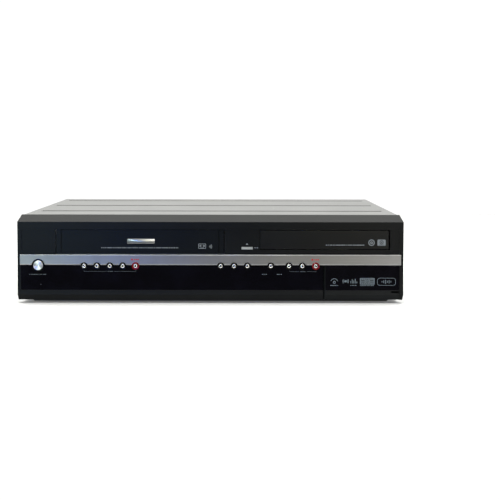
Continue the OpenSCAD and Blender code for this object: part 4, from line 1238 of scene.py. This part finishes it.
@dataclass
class Prints(Assembly):
    """Small print of the front, all of it wordless: dashes, lines, dots and plain pictograms."""

    fine: float = 0.9
    door_text: TextRow = (-123.1, -34.8, 62.5, 1.0, 3)
    badge: Point2 = (-78.5, 70.0)
    badge_size: Point2 = (31.0, 5.2)
    cassette: Point2 = (-9.5, 64.4)
    cassette_size: Point2 = (8.6, 5.6)
    sound: Point2 = (-2.2, 64.0)
    eject: Point2 = (41.1, 68.0)
    eject_text: TextRow = (49.2, 54.8, 62.6, 0.8, 8)
    tray_text: TextRow = (129.9, 173.2, 65.8, 1.0, 5)
    disc: Point2 = (181.4, 68.6)
    picture: Point2 = (192.7, 68.6)
    picture_size: Point2 = (9.2, 7.0)
    brackets: tuple[tuple[float, float, float], ...] = ((-142.5, -84.1, -112.8), (89.1, 118.9, 104.2))
    bracket_level: float = 35.85
    power_text: TextRow = (-204.4, -185.0, 32.35, 0.95, 21)
    arrows: tuple[Point2, ...] = ((60.5, 1.0), (77.2, -1.0))
    arrow_level: float = 32.7
    eye: Point2 = (-191.2, 21.0)
    record_dots: tuple[float, float] = (-88.4, 114.7)
    record_level: float = 49.3
    flap_text: float = 20.2
    flap_disc: Point2 = (139.6, 23.8)
    flap_sound: Point2 = (152.4, 25.0)
    flap_bars: Point2 = (158.2, 22.6)
    flap_heights: tuple[float, ...] = (2.6, 4.6, 3.4, 5.2, 2.2)
    bars_text: TextRow = (157.6, 165.4, 20.3, 0.8, 33)
    flap_film: Point2 = (176.8, 25.0)
    film_size: Point2 = (16.6, 7.4)
    flap_pill: Point2 = (198.4, 24.5)
    pill_size: Point2 = (21.0, 8.6)
    pill_heights: tuple[float, ...] = (1.4, 3.0, 4.4, 2.4, 3.6, 1.8)
    # Width, rise and height of the pad of painted shade in the flap's finger notch.
    notch: tuple[float, float, float] = (9.0, 8.9, 2.2)

    def build(self) -> None:
        """Prints the door, the panel, the tray front, the window, the strip and the flap, and sets the pad of
        painted shade in the flap's notch.
        """
        self.door()
        self.panel()
        self.tray()
        self.window()
        self.strip()
        self.flap()
        self.shade_notch()

    def door(self) -> None:
        """A row of dashes, a cassette, sound waves and a blank badge on the cassette door."""
        marks = Stencil("cassette_door")
        marks.dashes(*self.door_text)
        x, z = self.cassette
        marks.box(x, z, *self.cassette_size, 0.6, 0.8)
        for side in SIDES:
            marks.ring(x + side * 1.9, z + 0.3, 1.15, 0.45)
        marks.bar(x, z - 1.9, 4.4, 0.5)
        marks.waves(*self.sound, (1.4, 2.6, 3.8), 0.55, -42.0, 84.0)
        self.fit(marks.done("door_print"), "door", Palette.PRINT)
        plate = bmesh.new()
        outline = rounded(oblong(*self.badge, *self.badge_size), 1.2, 4, True)
        rows = []
        for inset, rise in ((0.0, 0.0), (0.0, 0.35), (0.25, 0.5)):
            row = []
            for x, z in outline:
                inward = [math.copysign(inset, middle - side) for side, middle in zip((x, z), self.badge)]
                row.append(plate.verts.new((x + inward[0], marks.face - rise, z + inward[1])))
            rows.append(row)
        for low, high in zip(rows, rows[1:]):
            loft(plate, low, high)
        plate.faces.new(rows[-1])
        self.fit(publish("blank_badge", plate), "door", Palette.BADGE)

    def panel(self) -> None:
        """The open and close triangle over its button, on the recessed face."""
        marks = Stencil("front_panel", sunk=1.0)
        x, z = self.eject
        marks.shape([(x - 1.4, z - 2.0), (x + 1.4, z - 2.0), (x, z)])
        marks.dashes(*self.eject_text)
        self.fit(marks.done("panel_print"), "case", Palette.PRINT)

    def tray(self) -> None:
        """Dashes, a disc and a frame on the tray front."""
        marks = Stencil("tray_bezel")
        marks.dashes(*self.tray_text)
        marks.ring(*self.disc, 3.6, 2.6)
        marks.ring(*self.disc, 1.5, 0.6)
        marks.bar(*self.picture, *self.picture_size, 1.0)
        self.fit(marks.done("tray_print"), "tray", Palette.PRINT)
        dark = Stencil("tray_bezel", coats=2)
        x, z = self.picture
        dark.ring(x, z + 0.4, 2.2, 1.5)
        dark.dot(x, z + 0.4, 0.6)
        dark.bar(x, z - 2.6, 6.4, 0.5)
        self.fit(dark.done("tray_print_dark"), "tray", Palette.PRINT_DARK)

    def window(self) -> None:
        """Brackets under the two groups of keys, labels and the remote eye on the window."""
        glass, labels, eye = (Stencil("display_window") for _ in range(3))
        line, gap, level = 0.35, 4.2, self.bracket_level
        for left, right, middle in self.brackets:
            glass.line(left, middle - gap, level, line)
            glass.line(middle + gap, right, level, line)
            for end in (left, right):
                glass.bar(end, level + 0.45, line, 1.2)
            glass.dashes(middle - 3.0, middle + 3.4, level, self.fine, int(middle))
        glass.dashes(*self.power_text)
        for x, towards in self.arrows:
            labels.dashes(x - 2.4, x + 1.2, self.arrow_level, self.fine, int(x))
            labels.arrow(x + 2.4 + 0.7 * towards, self.arrow_level, 1.4 * towards, 0.7)
        self.fit(glass.done("window_print"), "case", Palette.PRINT_DIM)
        self.fit(labels.done("window_labels"), "case", Palette.PRINT_BLUE)
        eye.dot(*self.eye, 0.8)
        self.fit(eye.done("remote_eye"), "case", Palette.PRINT_FAINT)

    def strip(self) -> None:
        """The red dots and dashes on the strip, over the two record keys."""
        marks = Stencil("silver_strip")
        for x in self.record_dots:
            marks.dot(x, self.record_level, 1.1)
            marks.dashes(x + 2.3, x + 7.6, self.record_level, 1.1, int(abs(x)))
        self.fit(marks.done("record_print"), "case", Palette.PRINT_RED)

    def shade_notch(self) -> None:
        """A near-black pad at the bottom of the flap's finger notch: painted shade, so that the notch reads
        as a dark slot.
        """
        low, high = corners("jack_flap")
        width, rise, height = self.notch
        foot = (high.x - width, low.y + 1.35, low.z + rise)
        top = (high.x - 0.3, low.y + 1.75, low.z + rise + height)
        self.fit(Blocks().add(foot, top, 0.1).done("flap_notch_shade"), "flap", Palette.NOTCH_SHADE)

    def flap(self) -> None:
        """Four plain pictograms on the jack flap: disc, sound, film frame and a pill with bars."""
        marks = Stencil("jack_flap")
        x, z = self.flap_disc
        marks.ring(x, z, 4.4, 3.7, 20.0, 140.0)
        marks.ring(x, z, 1.6, 0.8)
        marks.dashes(x - 4.6, x + 4.6, self.flap_text, self.fine, 31)
        x, z = self.flap_sound
        marks.dot(x, z, 1.3)
        for start in (-40.0, 140.0):
            marks.waves(x, z, (2.4, 3.6), 0.65, start, 80.0)
        marks.bars(*self.flap_bars, 1.7, 0.8, self.flap_heights, 0.5)
        marks.dashes(*self.bars_text)
        x, z = self.flap_film
        marks.bar(x, z, *self.film_size, 0.8)
        marks.dashes(x - 8.0, x + 8.0, self.flap_text, self.fine, 35)
        dark = Stencil("jack_flap", coats=2)
        for side in SIDES:
            dark.bars(x - 6.3, z + side * 2.5, 2.1, 1.1, (0.9,) * 7)
            for rise in (-0.9, 0.9):
                dark.bar(x + side * 5.0, z + rise, 4.4, 0.9)
        dark.ring(x, z, 1.9, 1.4)
        dark.arrow(x + 0.9, z, 1.4, 0.8)
        self.fit(dark.done("flap_print_dark"), "flap", Palette.PRINT_DARK)
        x, z = self.flap_pill
        marks.box(x, z, *self.pill_size, 0.45, 3.2)
        marks.bars(x - 5.0, z, 2.0, 0.8, self.pill_heights)
        self.fit(marks.done("flap_print"), "flap", Palette.PRINT_BLUE)


@dataclass
class Fasteners(Assembly):
    """Screws of the case and of the rear, a dark bar of painted shade behind the cassette door's lower gap,
    and the four feet.
    """

    side_head: Point2 = (3.6, 1.6)
    rear_head: Point2 = (3.4, 1.5)
    small_head: Point2 = (2.6, 1.1)
    side_back: float = 46.0
    rear_in: float = 40.0
    inset: float = 4.0
    socket_level: float = 36.0
    panel_spots: tuple[Point2, ...] = ((118.3, 46.0), (150.0, 36.0), (206.0, 36.0))
    inlet_level: float = 31.0
    base_level: float = 14.0
    base_row: tuple[float, ...] = (-150.0, 0.0, 150.0)
    foot: float = 9.0
    foot_facets: int = 56
    ribs: tuple[float, ...] = (1.6, 3.0, 4.4)

    def build(self) -> None:
        """Drives the screws and stands the feet."""
        self.screws()
        self.rear()
        self.shade_door_gap()
        self.feet()

    def screws(self) -> None:
        """Replaces the plain heads with domed ones that have a cross recess."""
        mesh = bmesh.new()
        edge = corners("top_cover")[1]
        low, high = corners("case_screws")
        reach = self.side_head[0]
        for side in SIDES:
            for y in (low.y + reach, edge.y - self.side_back):
                screw(mesh, (side * edge.x, y, low.z + reach), (side, 0.0, 0.0), *self.side_head)
        for step in (-1.0, 0.0, 1.0):
            at = (step * (edge.x - self.rear_in), edge.y, high.z - self.rear_head[0])
            screw(mesh, at, BACK, *self.rear_head)
        self.fit(publish("cross_screws", mesh), "case", node="case_screws")

    def rear(self) -> None:
        """Drives the small screws round the fan, the sockets and the inlet."""
        mesh = bmesh.new()
        low, high = corners("cooling_fan")
        inset = self.inset
        spots = list(product((low.x + inset, high.x - inset), (low.z + inset, high.z - inset)))
        spots.append((corners("rear_jacks")[0].x - inset, self.socket_level))
        spots += self.panel_spots
        low, high = corners("mains_inlet")
        spots += product((low.x - inset, high.x + inset), (self.inlet_level,))
        spots += product(self.base_row, (self.base_level,))
        face = corners("rear_panel")[1].y
        for x, z in spots:
            screw(mesh, (x, face, z), BACK, *self.small_head)
        self.fit(publish("rear_screws", mesh), "case", Palette.SLOTS["zinc_sheet"])

    def shade_door_gap(self) -> None:
        """Closes the gap under the cassette door from behind with a dark bar: painted shade, so that the gap
        reads black.
        """
        low, high = corners("cassette_door")
        front = corners("front_panel")[0].y
        # Painted shade: a dark bar that hides the inside behind the door's lower gap.
        bar = Blocks().add((low.x, front + 3.2, low.z - 1.5), (high.x, front + 8.0, low.z - 0.3), 0.2)
        self.fit(bar.done("door_gap_shade"), "case", Palette.SLOTS["inner_plastic"])

    def feet(self) -> None:
        """Replaces the plain feet with ribbed ones that are screwed on from below."""
        turning = Turning(self.foot_facets)
        low, high = corners("feet")
        radius = self.foot
        groove = radius - 0.3
        profile = [
            (0.0, 1.8), (2.4, 1.8), (2.6, 0.3), (3.0, 0.0), (radius * 0.6, 0.0), (radius * 0.62, 0.25),
            (radius * 0.7, 0.25), (radius * 0.72, 0.0), (radius * 0.9, 0.0), (radius * 0.97, 0.2),
            (radius, 0.8),
        ]
        for start in self.ribs:
            profile += [(radius, start), (groove, start + 0.2), (groove, start + 0.6), (radius, start + 0.8)]
        profile += [(radius, high.z), (0.0, high.z)]
        for x, y in product((low.x + radius, high.x - radius), (low.y + radius, high.y - radius)):
            turning.add(profile, (x, y, 0.0))
        self.fit(turning.done("rubber_feet"), "case", node="feet")


@dataclass
class Sockets(Assembly):
    """Sockets of one side of the player, gathered as metal sleeves, coloured inserts and housings."""

    side: str = ""
    out: float = 1.0
    barrel: float = 4.1
    bore: float = 1.6
    lip: float = 0.55
    tints: tuple[Finish, ...] = (
        Palette.YELLOW, Palette.WHITE, Palette.RED, Palette.GREEN, Palette.BLUE,
        Palette.SLOTS["inlet_plastic"],
    )
    sleeves: Turning = field(default_factory=lambda: Turning(36))
    inserts: Turning = field(default_factory=lambda: Turning(36))
    blocks: Blocks = field(default_factory=Blocks)

    @property
    def axis(self) -> tuple[float, float, float]:
        """Direction that the sockets point in."""
        return (0.0, self.out, 0.0)

    def phono(self, at: Vector, length: float, tint: int) -> None:
        """Adds one phono socket.

        Args:
            at: Middle of its foot.
            length: Length from the foot to its mouth.
            tint: Material index of the insert.
        """
        inner, barrel, bore = self.barrel - self.lip, self.barrel, self.bore
        face = length - 0.9
        mouth = (bore + 0.35, face + 0.4)
        shell = [
            (inner, 0.0), (barrel, 0.0), (barrel, length - 0.35), (barrel - 0.3, length), (inner, length),
            (inner, 0.0),
        ]
        insert = [(inner, 0.0), (inner, face), (bore + 1.0, face), (bore + 0.8, face + 0.4), mouth]
        contact = [mouth, (bore + 0.1, face + 0.45), (bore, face), (bore, 1.0), (0.0, 1.0)]
        self.sleeves.add(rounded(shell, 0.1), at, self.axis)
        self.inserts.add(rounded(insert, 0.1), at, self.axis, tint)
        self.sleeves.add(contact, at, self.axis)

    def video(self, at: Vector, radius: float, length: float) -> None:
        """Adds a four-pin video socket: a shell round a dark insert with four contacts.

        Args:
            at: Middle of its foot.
            radius: Radius of the shell.
            length: Length from the foot to its mouth.
        """
        inner = radius - 0.5
        shell = [(inner, 0.0), (radius, 0.0), (radius, length), (inner, length), (inner, 0.0)]
        self.sleeves.add(shell, at, self.axis)
        self.inserts.add([(inner, length - 1.4), (0.0, length - 1.4)], at, self.axis, len(self.tints) - 1)
        for x, z in ((-1.3, 1.43), (1.3, 1.43), (-2.08, -1.17), (2.08, -1.17)):
            spot = at + Vector((x, self.out * (length - 1.6), z))
            self.sleeves.add([(0.45, 0.0), (0.45, 0.5), (0.2, 0.5), (0.0, 0.2)], spot, self.axis)

    def close(self, housings: str, *finishes: Finish) -> None:
        """Fits the three pieces, of which the housings have a name and finishes of their own."""
        node = f"{self.side}_jacks"
        self.fit(self.sleeves.done(f"{self.side}_sleeves"), "case", node=node)
        self.fit(self.inserts.done(f"{self.side}_inserts"), "case", *self.tints, node=node)
        self.fit(self.blocks.done(housings), "case", *finishes, node=node)


@dataclass
class RearSockets(Sockets):
    """Six pairs of phono sockets, two video sockets, the optical outlet and two aerial sockets."""

    side: str = "rear"
    half: float = 7.0
    pitch: float = 16.0
    levels: tuple[float, float] = (27.0, 45.0)
    pairs: tuple[int, ...] = (0, 1, 2, 3, 4, 2)
    roof: float = 9.0
    shell: float = 4.9
    sunk: float = 9.9
    aerial_in: float = 6.5
    nut: float = 11.2

    def build(self) -> None:
        """Builds the columns from left to right."""
        low, high = corners("rear_jacks")
        seat = corners("rear_panel")[0].y
        lower, upper = self.levels
        x = low.x + self.half

        def housing(top: float) -> None:
            """Adds the housing of the column at x."""
            self.blocks.add((x - self.half, low.y, low.z), (x + self.half, seat, top + self.roof), 0.5)

        for tint in self.pairs:
            housing(upper)
            for z in self.levels:
                self.phono(Vector((x, seat, z)), high.y - seat, tint)
            x += self.pitch
        housing(upper)
        for z in self.levels:
            self.video(Vector((x, seat, z)), self.shell, self.shell)
        x += self.pitch
        housing(lower)
        for half, start, end, radius, tint in ((4.4, 0.0, 3.2, 0.4, 0), (2.6, 2.8, 3.3, 0.2, 1)):
            foot, top = (x - half, seat + start, lower - half), (x + half, seat + end, lower + half)
            self.blocks.add(foot, top, radius, tint)
        for z in self.levels:
            self.aerial(Vector((high.x - self.aerial_in, seat - self.sunk, z)), high.y - seat + self.sunk)
        self.close("rear_housings", Palette.SLOTS["inlet_plastic"], Palette.RING)

    def aerial(self, at: Vector, length: float) -> None:
        """Adds a threaded aerial socket with its nut.

        Args:
            at: Middle of its foot.
            length: Length from the foot to its mouth.
        """
        radius, root, step = 4.75, 4.35, 0.8
        thread = [(0.7, 0.0), (root, 0.0)]
        rise = step
        while rise < length - step:
            crest = [(radius, rise + step * 0.3), (radius, rise + step * 0.45)]
            thread += [(root, rise), *crest, (root, rise + step * 0.8)]
            rise += step
        thread += [(radius - 0.3, length), (3.4, length), (3.3, length - 1.2)]
        core = [(3.35, length - 1.2), (0.9, length - 1.0), (0.8, length - 3.0), (0.0, length - 3.0)]
        nut = [(root, 0.0), (6.4, 0.0), (6.5, 0.2), (6.5, 1.3), (6.2, 1.5), (root, 1.5)]
        self.sleeves.add(thread, at, self.axis)
        self.inserts.add(core, at, self.axis, 1)
        Turning(6, self.sleeves.mesh).add(nut, at + Vector((0.0, self.nut, 0.0)), self.axis)


@dataclass
class FrontSockets(Sockets):
    """A video socket and three phono sockets behind the flap, on their small board."""

    side: str = "front"
    out: float = -1.0
    first: float = 18.0
    shell: float = 5.0
    pitch: float = 16.0
    board: float = 1.6

    def build(self) -> None:
        """Builds the sockets from left to right."""
        low, high = corners("front_jacks")
        seat = high.y - self.board
        self.blocks.add((low.x, seat, low.z), high, 0.15)
        at = Vector((corners("jack_flap")[0].x + self.first, seat, (low.z + high.z) / 2))
        self.video(at, self.shell, seat - low.y)
        for tint in range(3):
            at.x += self.pitch
            self.phono(at, seat - low.y, tint)
        self.close("front_socket_board", Palette.SLOTS["circuit_board"])


@dataclass
class RearPrints(Assembly):
    """Wordless lines and arrows on the rear panel round the groups of sockets."""

    line: float = 0.45
    height: float = 16.0
    corner: float = 1.5
    groups: tuple[Point2, ...] = ((6.0, 38.3), (38.8, 102.3), (102.8, 134.0))
    levels: tuple[float, float] = (27.0, 45.0)
    arrows: float = 174.0

    def build(self) -> None:
        """Prints frames, arrows and a wave."""
        marks = Stencil("rear_panel", rear=True)
        for (left, right), z in product(self.groups, self.levels):
            marks.box((left + right) / 2, z, right - left, self.height, self.line, self.corner)
        for z, towards in zip(self.levels, (1.0, -1.0)):
            marks.bar(self.arrows, z, 5.0, 0.8)
            marks.arrow(self.arrows + towards * 4.2, z, towards * 2.4, 1.7)
        low, high = corners("mains_inlet")
        x, z = (low.x + high.x) / 2, high.z + 5.0
        angles = [math.radians(angle) for angle in range(0, 361, 20)]
        wave = [(x + (angle - math.pi) * 1.1, z + math.sin(angle) * 1.3) for angle in angles]
        marks.band(wave, [(px, pz + self.line) for px, pz in wave], closed=False)
        self.fit(marks.done("rear_print"), "case", Palette.PRINT)


@dataclass
class Innards(Assembly):
    """Small components of the boards, flat cables and the belt of the tray."""

    cell: float = 8.0
    board: float = 1.6
    empty: float = 0.25
    small: float = 0.6
    flat: float = 0.82
    chip_half: Point2 = (1.8, 2.8)
    can_radius: Point2 = (1.5, 2.6)
    can_height: Point2 = (4.0, 8.0)
    can_facets: int = 20
    belt_half: float = 0.5
    belt_rise: float = 2.2
    pulleys: tuple[tuple[str, float], ...] = (("tray_motor", 3.4), ("tray_gear", 8.6))
    wires: int = 12
    wire_pitch: float = 0.9
    routes: tuple[tuple[tuple[float, float, float], ...], ...] = (
        ((48, 15.6, 24), (48, 22, 26), (48, 30, 24), (48, 44, 19), (48, 58, 17.4)),
        ((72, 15.6, 22), (72, 24, 24), (72, 36, 20), (72, 50, 18.5), (72, 60, 17.4)),
        ((40, 240, 17), (36, 236, 24), (30.5, 228, 30), (28.5, 220, 24), (26, 212, 20.2)),
    )

    def build(self) -> None:
        """Populates both boards and adds the belt and the cables."""
        self.populate("main_board", 5)
        self.populate("power_board", 9)
        self.belt()
        self.cables()

    def populate(self, node: str, seed: int) -> None:
        """Sets small parts wherever a board's top is bare.

        Args:
            node: The board.
            seed: Seed of the choice of parts.
        """
        chance = random.Random(seed)
        low, high = corners(node)
        top = low.z + self.board
        blocks, cans = Blocks(), Turning(self.can_facets)
        columns, rows = (int((end - start) / self.cell) for start, end in zip(low.xy, high.xy))
        for column, row in product(range(columns), range(rows)):
            at = Vector((low.x + (column + 0.5) * self.cell, low.y + (row + 0.5) * self.cell, top))
            kind = chance.random()
            if kind < self.empty or not self.bare(frame["nodes"][node], at):
                continue
            if kind < self.small:
                for step in range(chance.randint(2, 4)):
                    start = at + Vector((step * 1.7 - 3.0, -1.2, 0.0))
                    blocks.add(start, start + Vector((0.8, 1.6, 0.5)), 0.08, step % 2)
            elif kind < self.flat:
                self.chip(blocks, at, chance.uniform(*self.chip_half))
            else:
                self.can(cans, at, chance.uniform(*self.can_radius), chance.uniform(*self.can_height))
        self.fit(blocks.done(f"{node}_chips"), "case", Palette.SLOTS["inner_plastic"], Palette.BEIGE,
                 Palette.SLOTS["jack_metal"])
        self.fit(cans.done(f"{node}_cans"), "case", Palette.SLEEVE, Palette.SLOTS["drum_alloy"])

    @staticmethod
    def chip(blocks: Blocks, at: Vector, half: float) -> None:
        """Adds a flat chip with five legs on either side.

        Args:
            blocks: Receives the chip.
            at: Middle of its foot.
            half: Half of its width.
        """
        blocks.add(at + Vector((-half, -half, 0.1)), at + Vector((half, half, 1.2)), 0.15)
        for step, side in product(range(5), SIDES):
            start = at.x - half + (step + 0.3) * half * 0.4
            near, far = sorted((at.y + side * half, at.y + side * (half + 0.8)))
            blocks.add((start, near, at.z), (start + 0.3, far, at.z + 0.4), 0.05, 2)

    @staticmethod
    def can(cans: Turning, at: Vector, radius: float, height: float) -> None:
        """Adds a sleeved can with a bare metal top.

        Args:
            cans: Receives the can.
            at: Middle of its foot.
            radius: Its radius.
            height: Its height.
        """
        shoulder = radius * 0.85
        sleeve = [
            (radius, 0.0), (radius, 0.5), (radius * 0.92, 0.8), (radius, 1.1), (radius, height - 0.3),
            (shoulder, height),
        ]
        lid = [(shoulder, height), (radius * 0.8, height - 0.15), (0.0, height - 0.15)]
        cans.add(sleeve, at).add(lid, at, material=1)

    def bare(self, board: Piece, at: Vector) -> bool:
        """True where a board's top is free all over a cell.

        Args:
            board: The board.
            at: Middle of the cell, on the board's top.

        Returns:
            Whether nothing stands there.
        """
        reach = self.cell * 0.45
        for offset in product((-reach, 0.0, reach), repeat=2):
            start = at + Vector((*offset, 60.0))
            hit, spot, _, _ = board.ray_cast(start * MM, Vector((0.0, 0.0, -1.0)))
            if not hit or abs(spot.z / MM - at.z) > 0.1:
                return False
        return True

    def belt(self) -> None:
        """Square belt round the motor's pulley and the pulley of the tray gear."""
        level = corners("tray_gear")[0].z + self.belt_rise
        wheels = []
        for node, radius in self.pulleys:
            low, high = corners(node)
            wheels.append(((low + high).xy / 2, radius))
        line = wheels[1][0] - wheels[0][0]
        heading = math.degrees(math.atan2(line.y, line.x))
        lean = math.degrees(math.acos((wheels[0][1] - wheels[1][1]) / line.length))
        path = []
        for (middle, radius), start, turn in zip(wheels, (lean, -lean), (360.0 - 2 * lean, 2 * lean)):
            path += arc(middle.x, middle.y, radius, heading + start, turn, 16)
        section = rounded(oblong(0.0, 0.0, 2 * self.belt_half, 2 * self.belt_half), 0.15, 2, True)
        loop = sweep([Vector((x, y, level)) for x, y in path], section, True)
        self.fit(publish("tray_belt", loop), "case", Palette.BELT)

    def cables(self) -> None:
        """Flat cables from the key board and from the drive down to the main board."""
        front = corners("front_panel")[0].y
        ridges = []
        for step in range(self.wires + 1):
            across = step - self.wires / 2
            ridges += [(across * self.wire_pitch, 0.12), ((across + 0.5) * self.wire_pitch, 0.3)]
        under = [(across, -rise) for across, rise in reversed(ridges)]
        for index, route in enumerate(self.routes):
            path = [Vector((x, front + y, z)) for x, y, z in route]
            dense = []
            for start, end in zip(path, path[1:]):
                dense += [start.lerp(end, share / 4) for share in range(4)]
            dense.append(path[-1])
            for _ in range(3):
                dense[1:-1] = [(a + b * 2 + c) / 4 for a, b, c in zip(dense, dense[1:], dense[2:])]
            cable = sweep(dense, ridges + under)
            self.fit(publish(f"flat_cable_{index}", cable), "case", Palette.WHITE)


# ---------------------------------------------------------------- studio


@dataclass(frozen=True)
class SoftBox:
    """One lamp of the studio; its places and sizes are in metres."""

    name: str
    at: tuple[float, float, float]
    aim: tuple[float, float, float]
    size: Point2
    radiance: float
    colour: Colour

    def hang(self) -> None:
        """Adds the lamp, which the camera doesn't see."""
        data = bpy.data.lights.new(self.name, "AREA")
        data.shape = "RECTANGLE"
        data.size, data.size_y = self.size
        data.energy = self.radiance * math.pi * self.size[0] * self.size[1]
        data.color = self.colour
        lamp = bpy.data.objects.new(self.name, data)
        lamp.location = self.at
        lamp.rotation_euler = (Vector(self.aim) - Vector(self.at)).to_track_quat("-Z", "Y").to_euler()
        lamp.visible_camera = False
        bpy.context.scene.collection.objects.link(lamp)


@dataclass
class Studio:
    """Pale table top, soft light and the camera, whose place is in metres and angles in degrees."""

    table_x: float = 1600.0
    table_front: float = -245.0
    table_back: float = 1400.0
    eye: tuple[float, float, float] = (0.0304, -1.5314, 0.1876)
    yaw: float = 0.15
    pitch: float = 2.53
    roll: float = 0.1
    lens: float = 86.9
    sensor: float = 36.0
    shift: tuple[float, float] = (0.0184, -0.1198)
    room_dim: Colour = (0.083, 0.081, 0.077)
    room_bright: Colour = (1.0, 1.0, 0.985)
    room_light: float = 1.36
    room_seen: float = 1.05
    lamps: tuple[SoftBox, ...] = (
        SoftBox("overhead", (0.0, 0.15, 1.3), (0.0, 0.0, 0.0), (1.6, 1.2), 10.3, (1.0, 1.0, 0.96)),
        SoftBox("front_box", (0.0, -1.6, 1.2), (0.0, -0.17, 0.05), (1.6, 0.9), 0.5, (1.0, 1.0, 0.98)),
        SoftBox("left_box", (-0.5, -1.42, 0.18), (0.0, -0.1, 0.05), (0.12, 0.26), 26.5, (0.75, 1.0, 0.86)),
        SoftBox("blue_box", (-0.275, -1.5, 0.13), (-0.1, -0.1, 0.05), (0.14, 0.14), 28.0, (0.0, 0.15, 1.0)),
        SoftBox("middle_box", (0.2, -1.5, 0.13), (0.0, -0.1, 0.05), (0.3, 0.14), 3.4, (1.0, 0.9, 0.4)),
        SoftBox("right_box", (0.5, -1.5, 0.18), (0.0, -0.1, 0.05), (0.2, 0.26), 15.5, (1.0, 0.975, 0.92)),
    )

    def table(self) -> None:
        """Lays the table top, which the object stands on."""
        mesh = bmesh.new()
        rim = ((-1, self.table_front), (1, self.table_front), (1, self.table_back), (-1, self.table_back))
        mesh.faces.new([mesh.verts.new((side * self.table_x, y, 0.0)) for side, y in rim])
        top = publish("table_top", mesh)
        top.data.materials.append(Palette.PAPER.material())

    def air(self) -> None:
        """Sets the room: white to the eye, dim in front of the object and bright behind and above it."""
        world = bpy.data.worlds.new("studio")
        bpy.context.scene.world = world
        graph = Graph(world)
        towards = graph.place("Generated")
        behind = graph.part(towards, 1).span(-0.5, 0.75)
        above = graph.part(towards, 2).span(0.15, 0.9)
        level = (behind * 0.95 + above * 0.5 + 0.05).span(0.0, 1.0)
        room = graph.blend(level, self.room_dim, self.room_bright)
        light, seen = (
            graph.node("ShaderNodeBackground", None, {0: colour, 1: strength}).outputs[0]
            for colour, strength in ((room, self.room_light), ((1.0, 1.0, 1.0, 1.0), self.room_seen))
        )
        eye = graph.node("ShaderNodeLightPath").outputs["Is Camera Ray"]
        graph.node("ShaderNodeOutputWorld", None, {0: graph.mixed(eye, light, seen)})

    def camera(self) -> None:
        """Sets the camera."""
        yaw, pitch, roll = (math.radians(angle) for angle in (self.yaw, self.pitch, self.roll))
        ahead = Vector((math.sin(yaw) * math.cos(pitch), math.cos(yaw) * math.cos(pitch), -math.sin(pitch)))
        level = Vector((math.cos(yaw), -math.sin(yaw), 0.0))
        over = level.cross(ahead)
        right = level * math.cos(roll) + over * math.sin(roll)
        up = over * math.cos(roll) - level * math.sin(roll)
        data = bpy.data.cameras.new("camera")
        data.sensor_width = self.sensor
        data.lens = self.lens
        data.shift_x, data.shift_y = self.shift
        camera = bpy.data.objects.new("camera", data)
        turn = Matrix((right, up, -ahead)).transposed().to_4x4()
        camera.matrix_world = Matrix.Translation(Vector(self.eye)) @ turn
        bpy.context.scene.collection.objects.link(camera)
        bpy.context.scene.camera = camera

    def build(self) -> None:
        """Sets the whole studio."""
        bpy.context.scene.view_settings.view_transform = "Standard"
        self.table()
        self.air()
        for lamp in self.lamps:
            lamp.hang()
        self.camera()
        LOG.info("studio ready")


def main() -> None:
    """Builds the player and its studio."""
    logging.basicConfig(level=logging.INFO, format="%(name)s: %(message)s")
    Studio().build()
    for assembly in (CadDressing, Keys, Prints, Fasteners, RearSockets, FrontSockets, RearPrints, Innards):
        assembly().build()


if __name__ == "__main__":
    main()
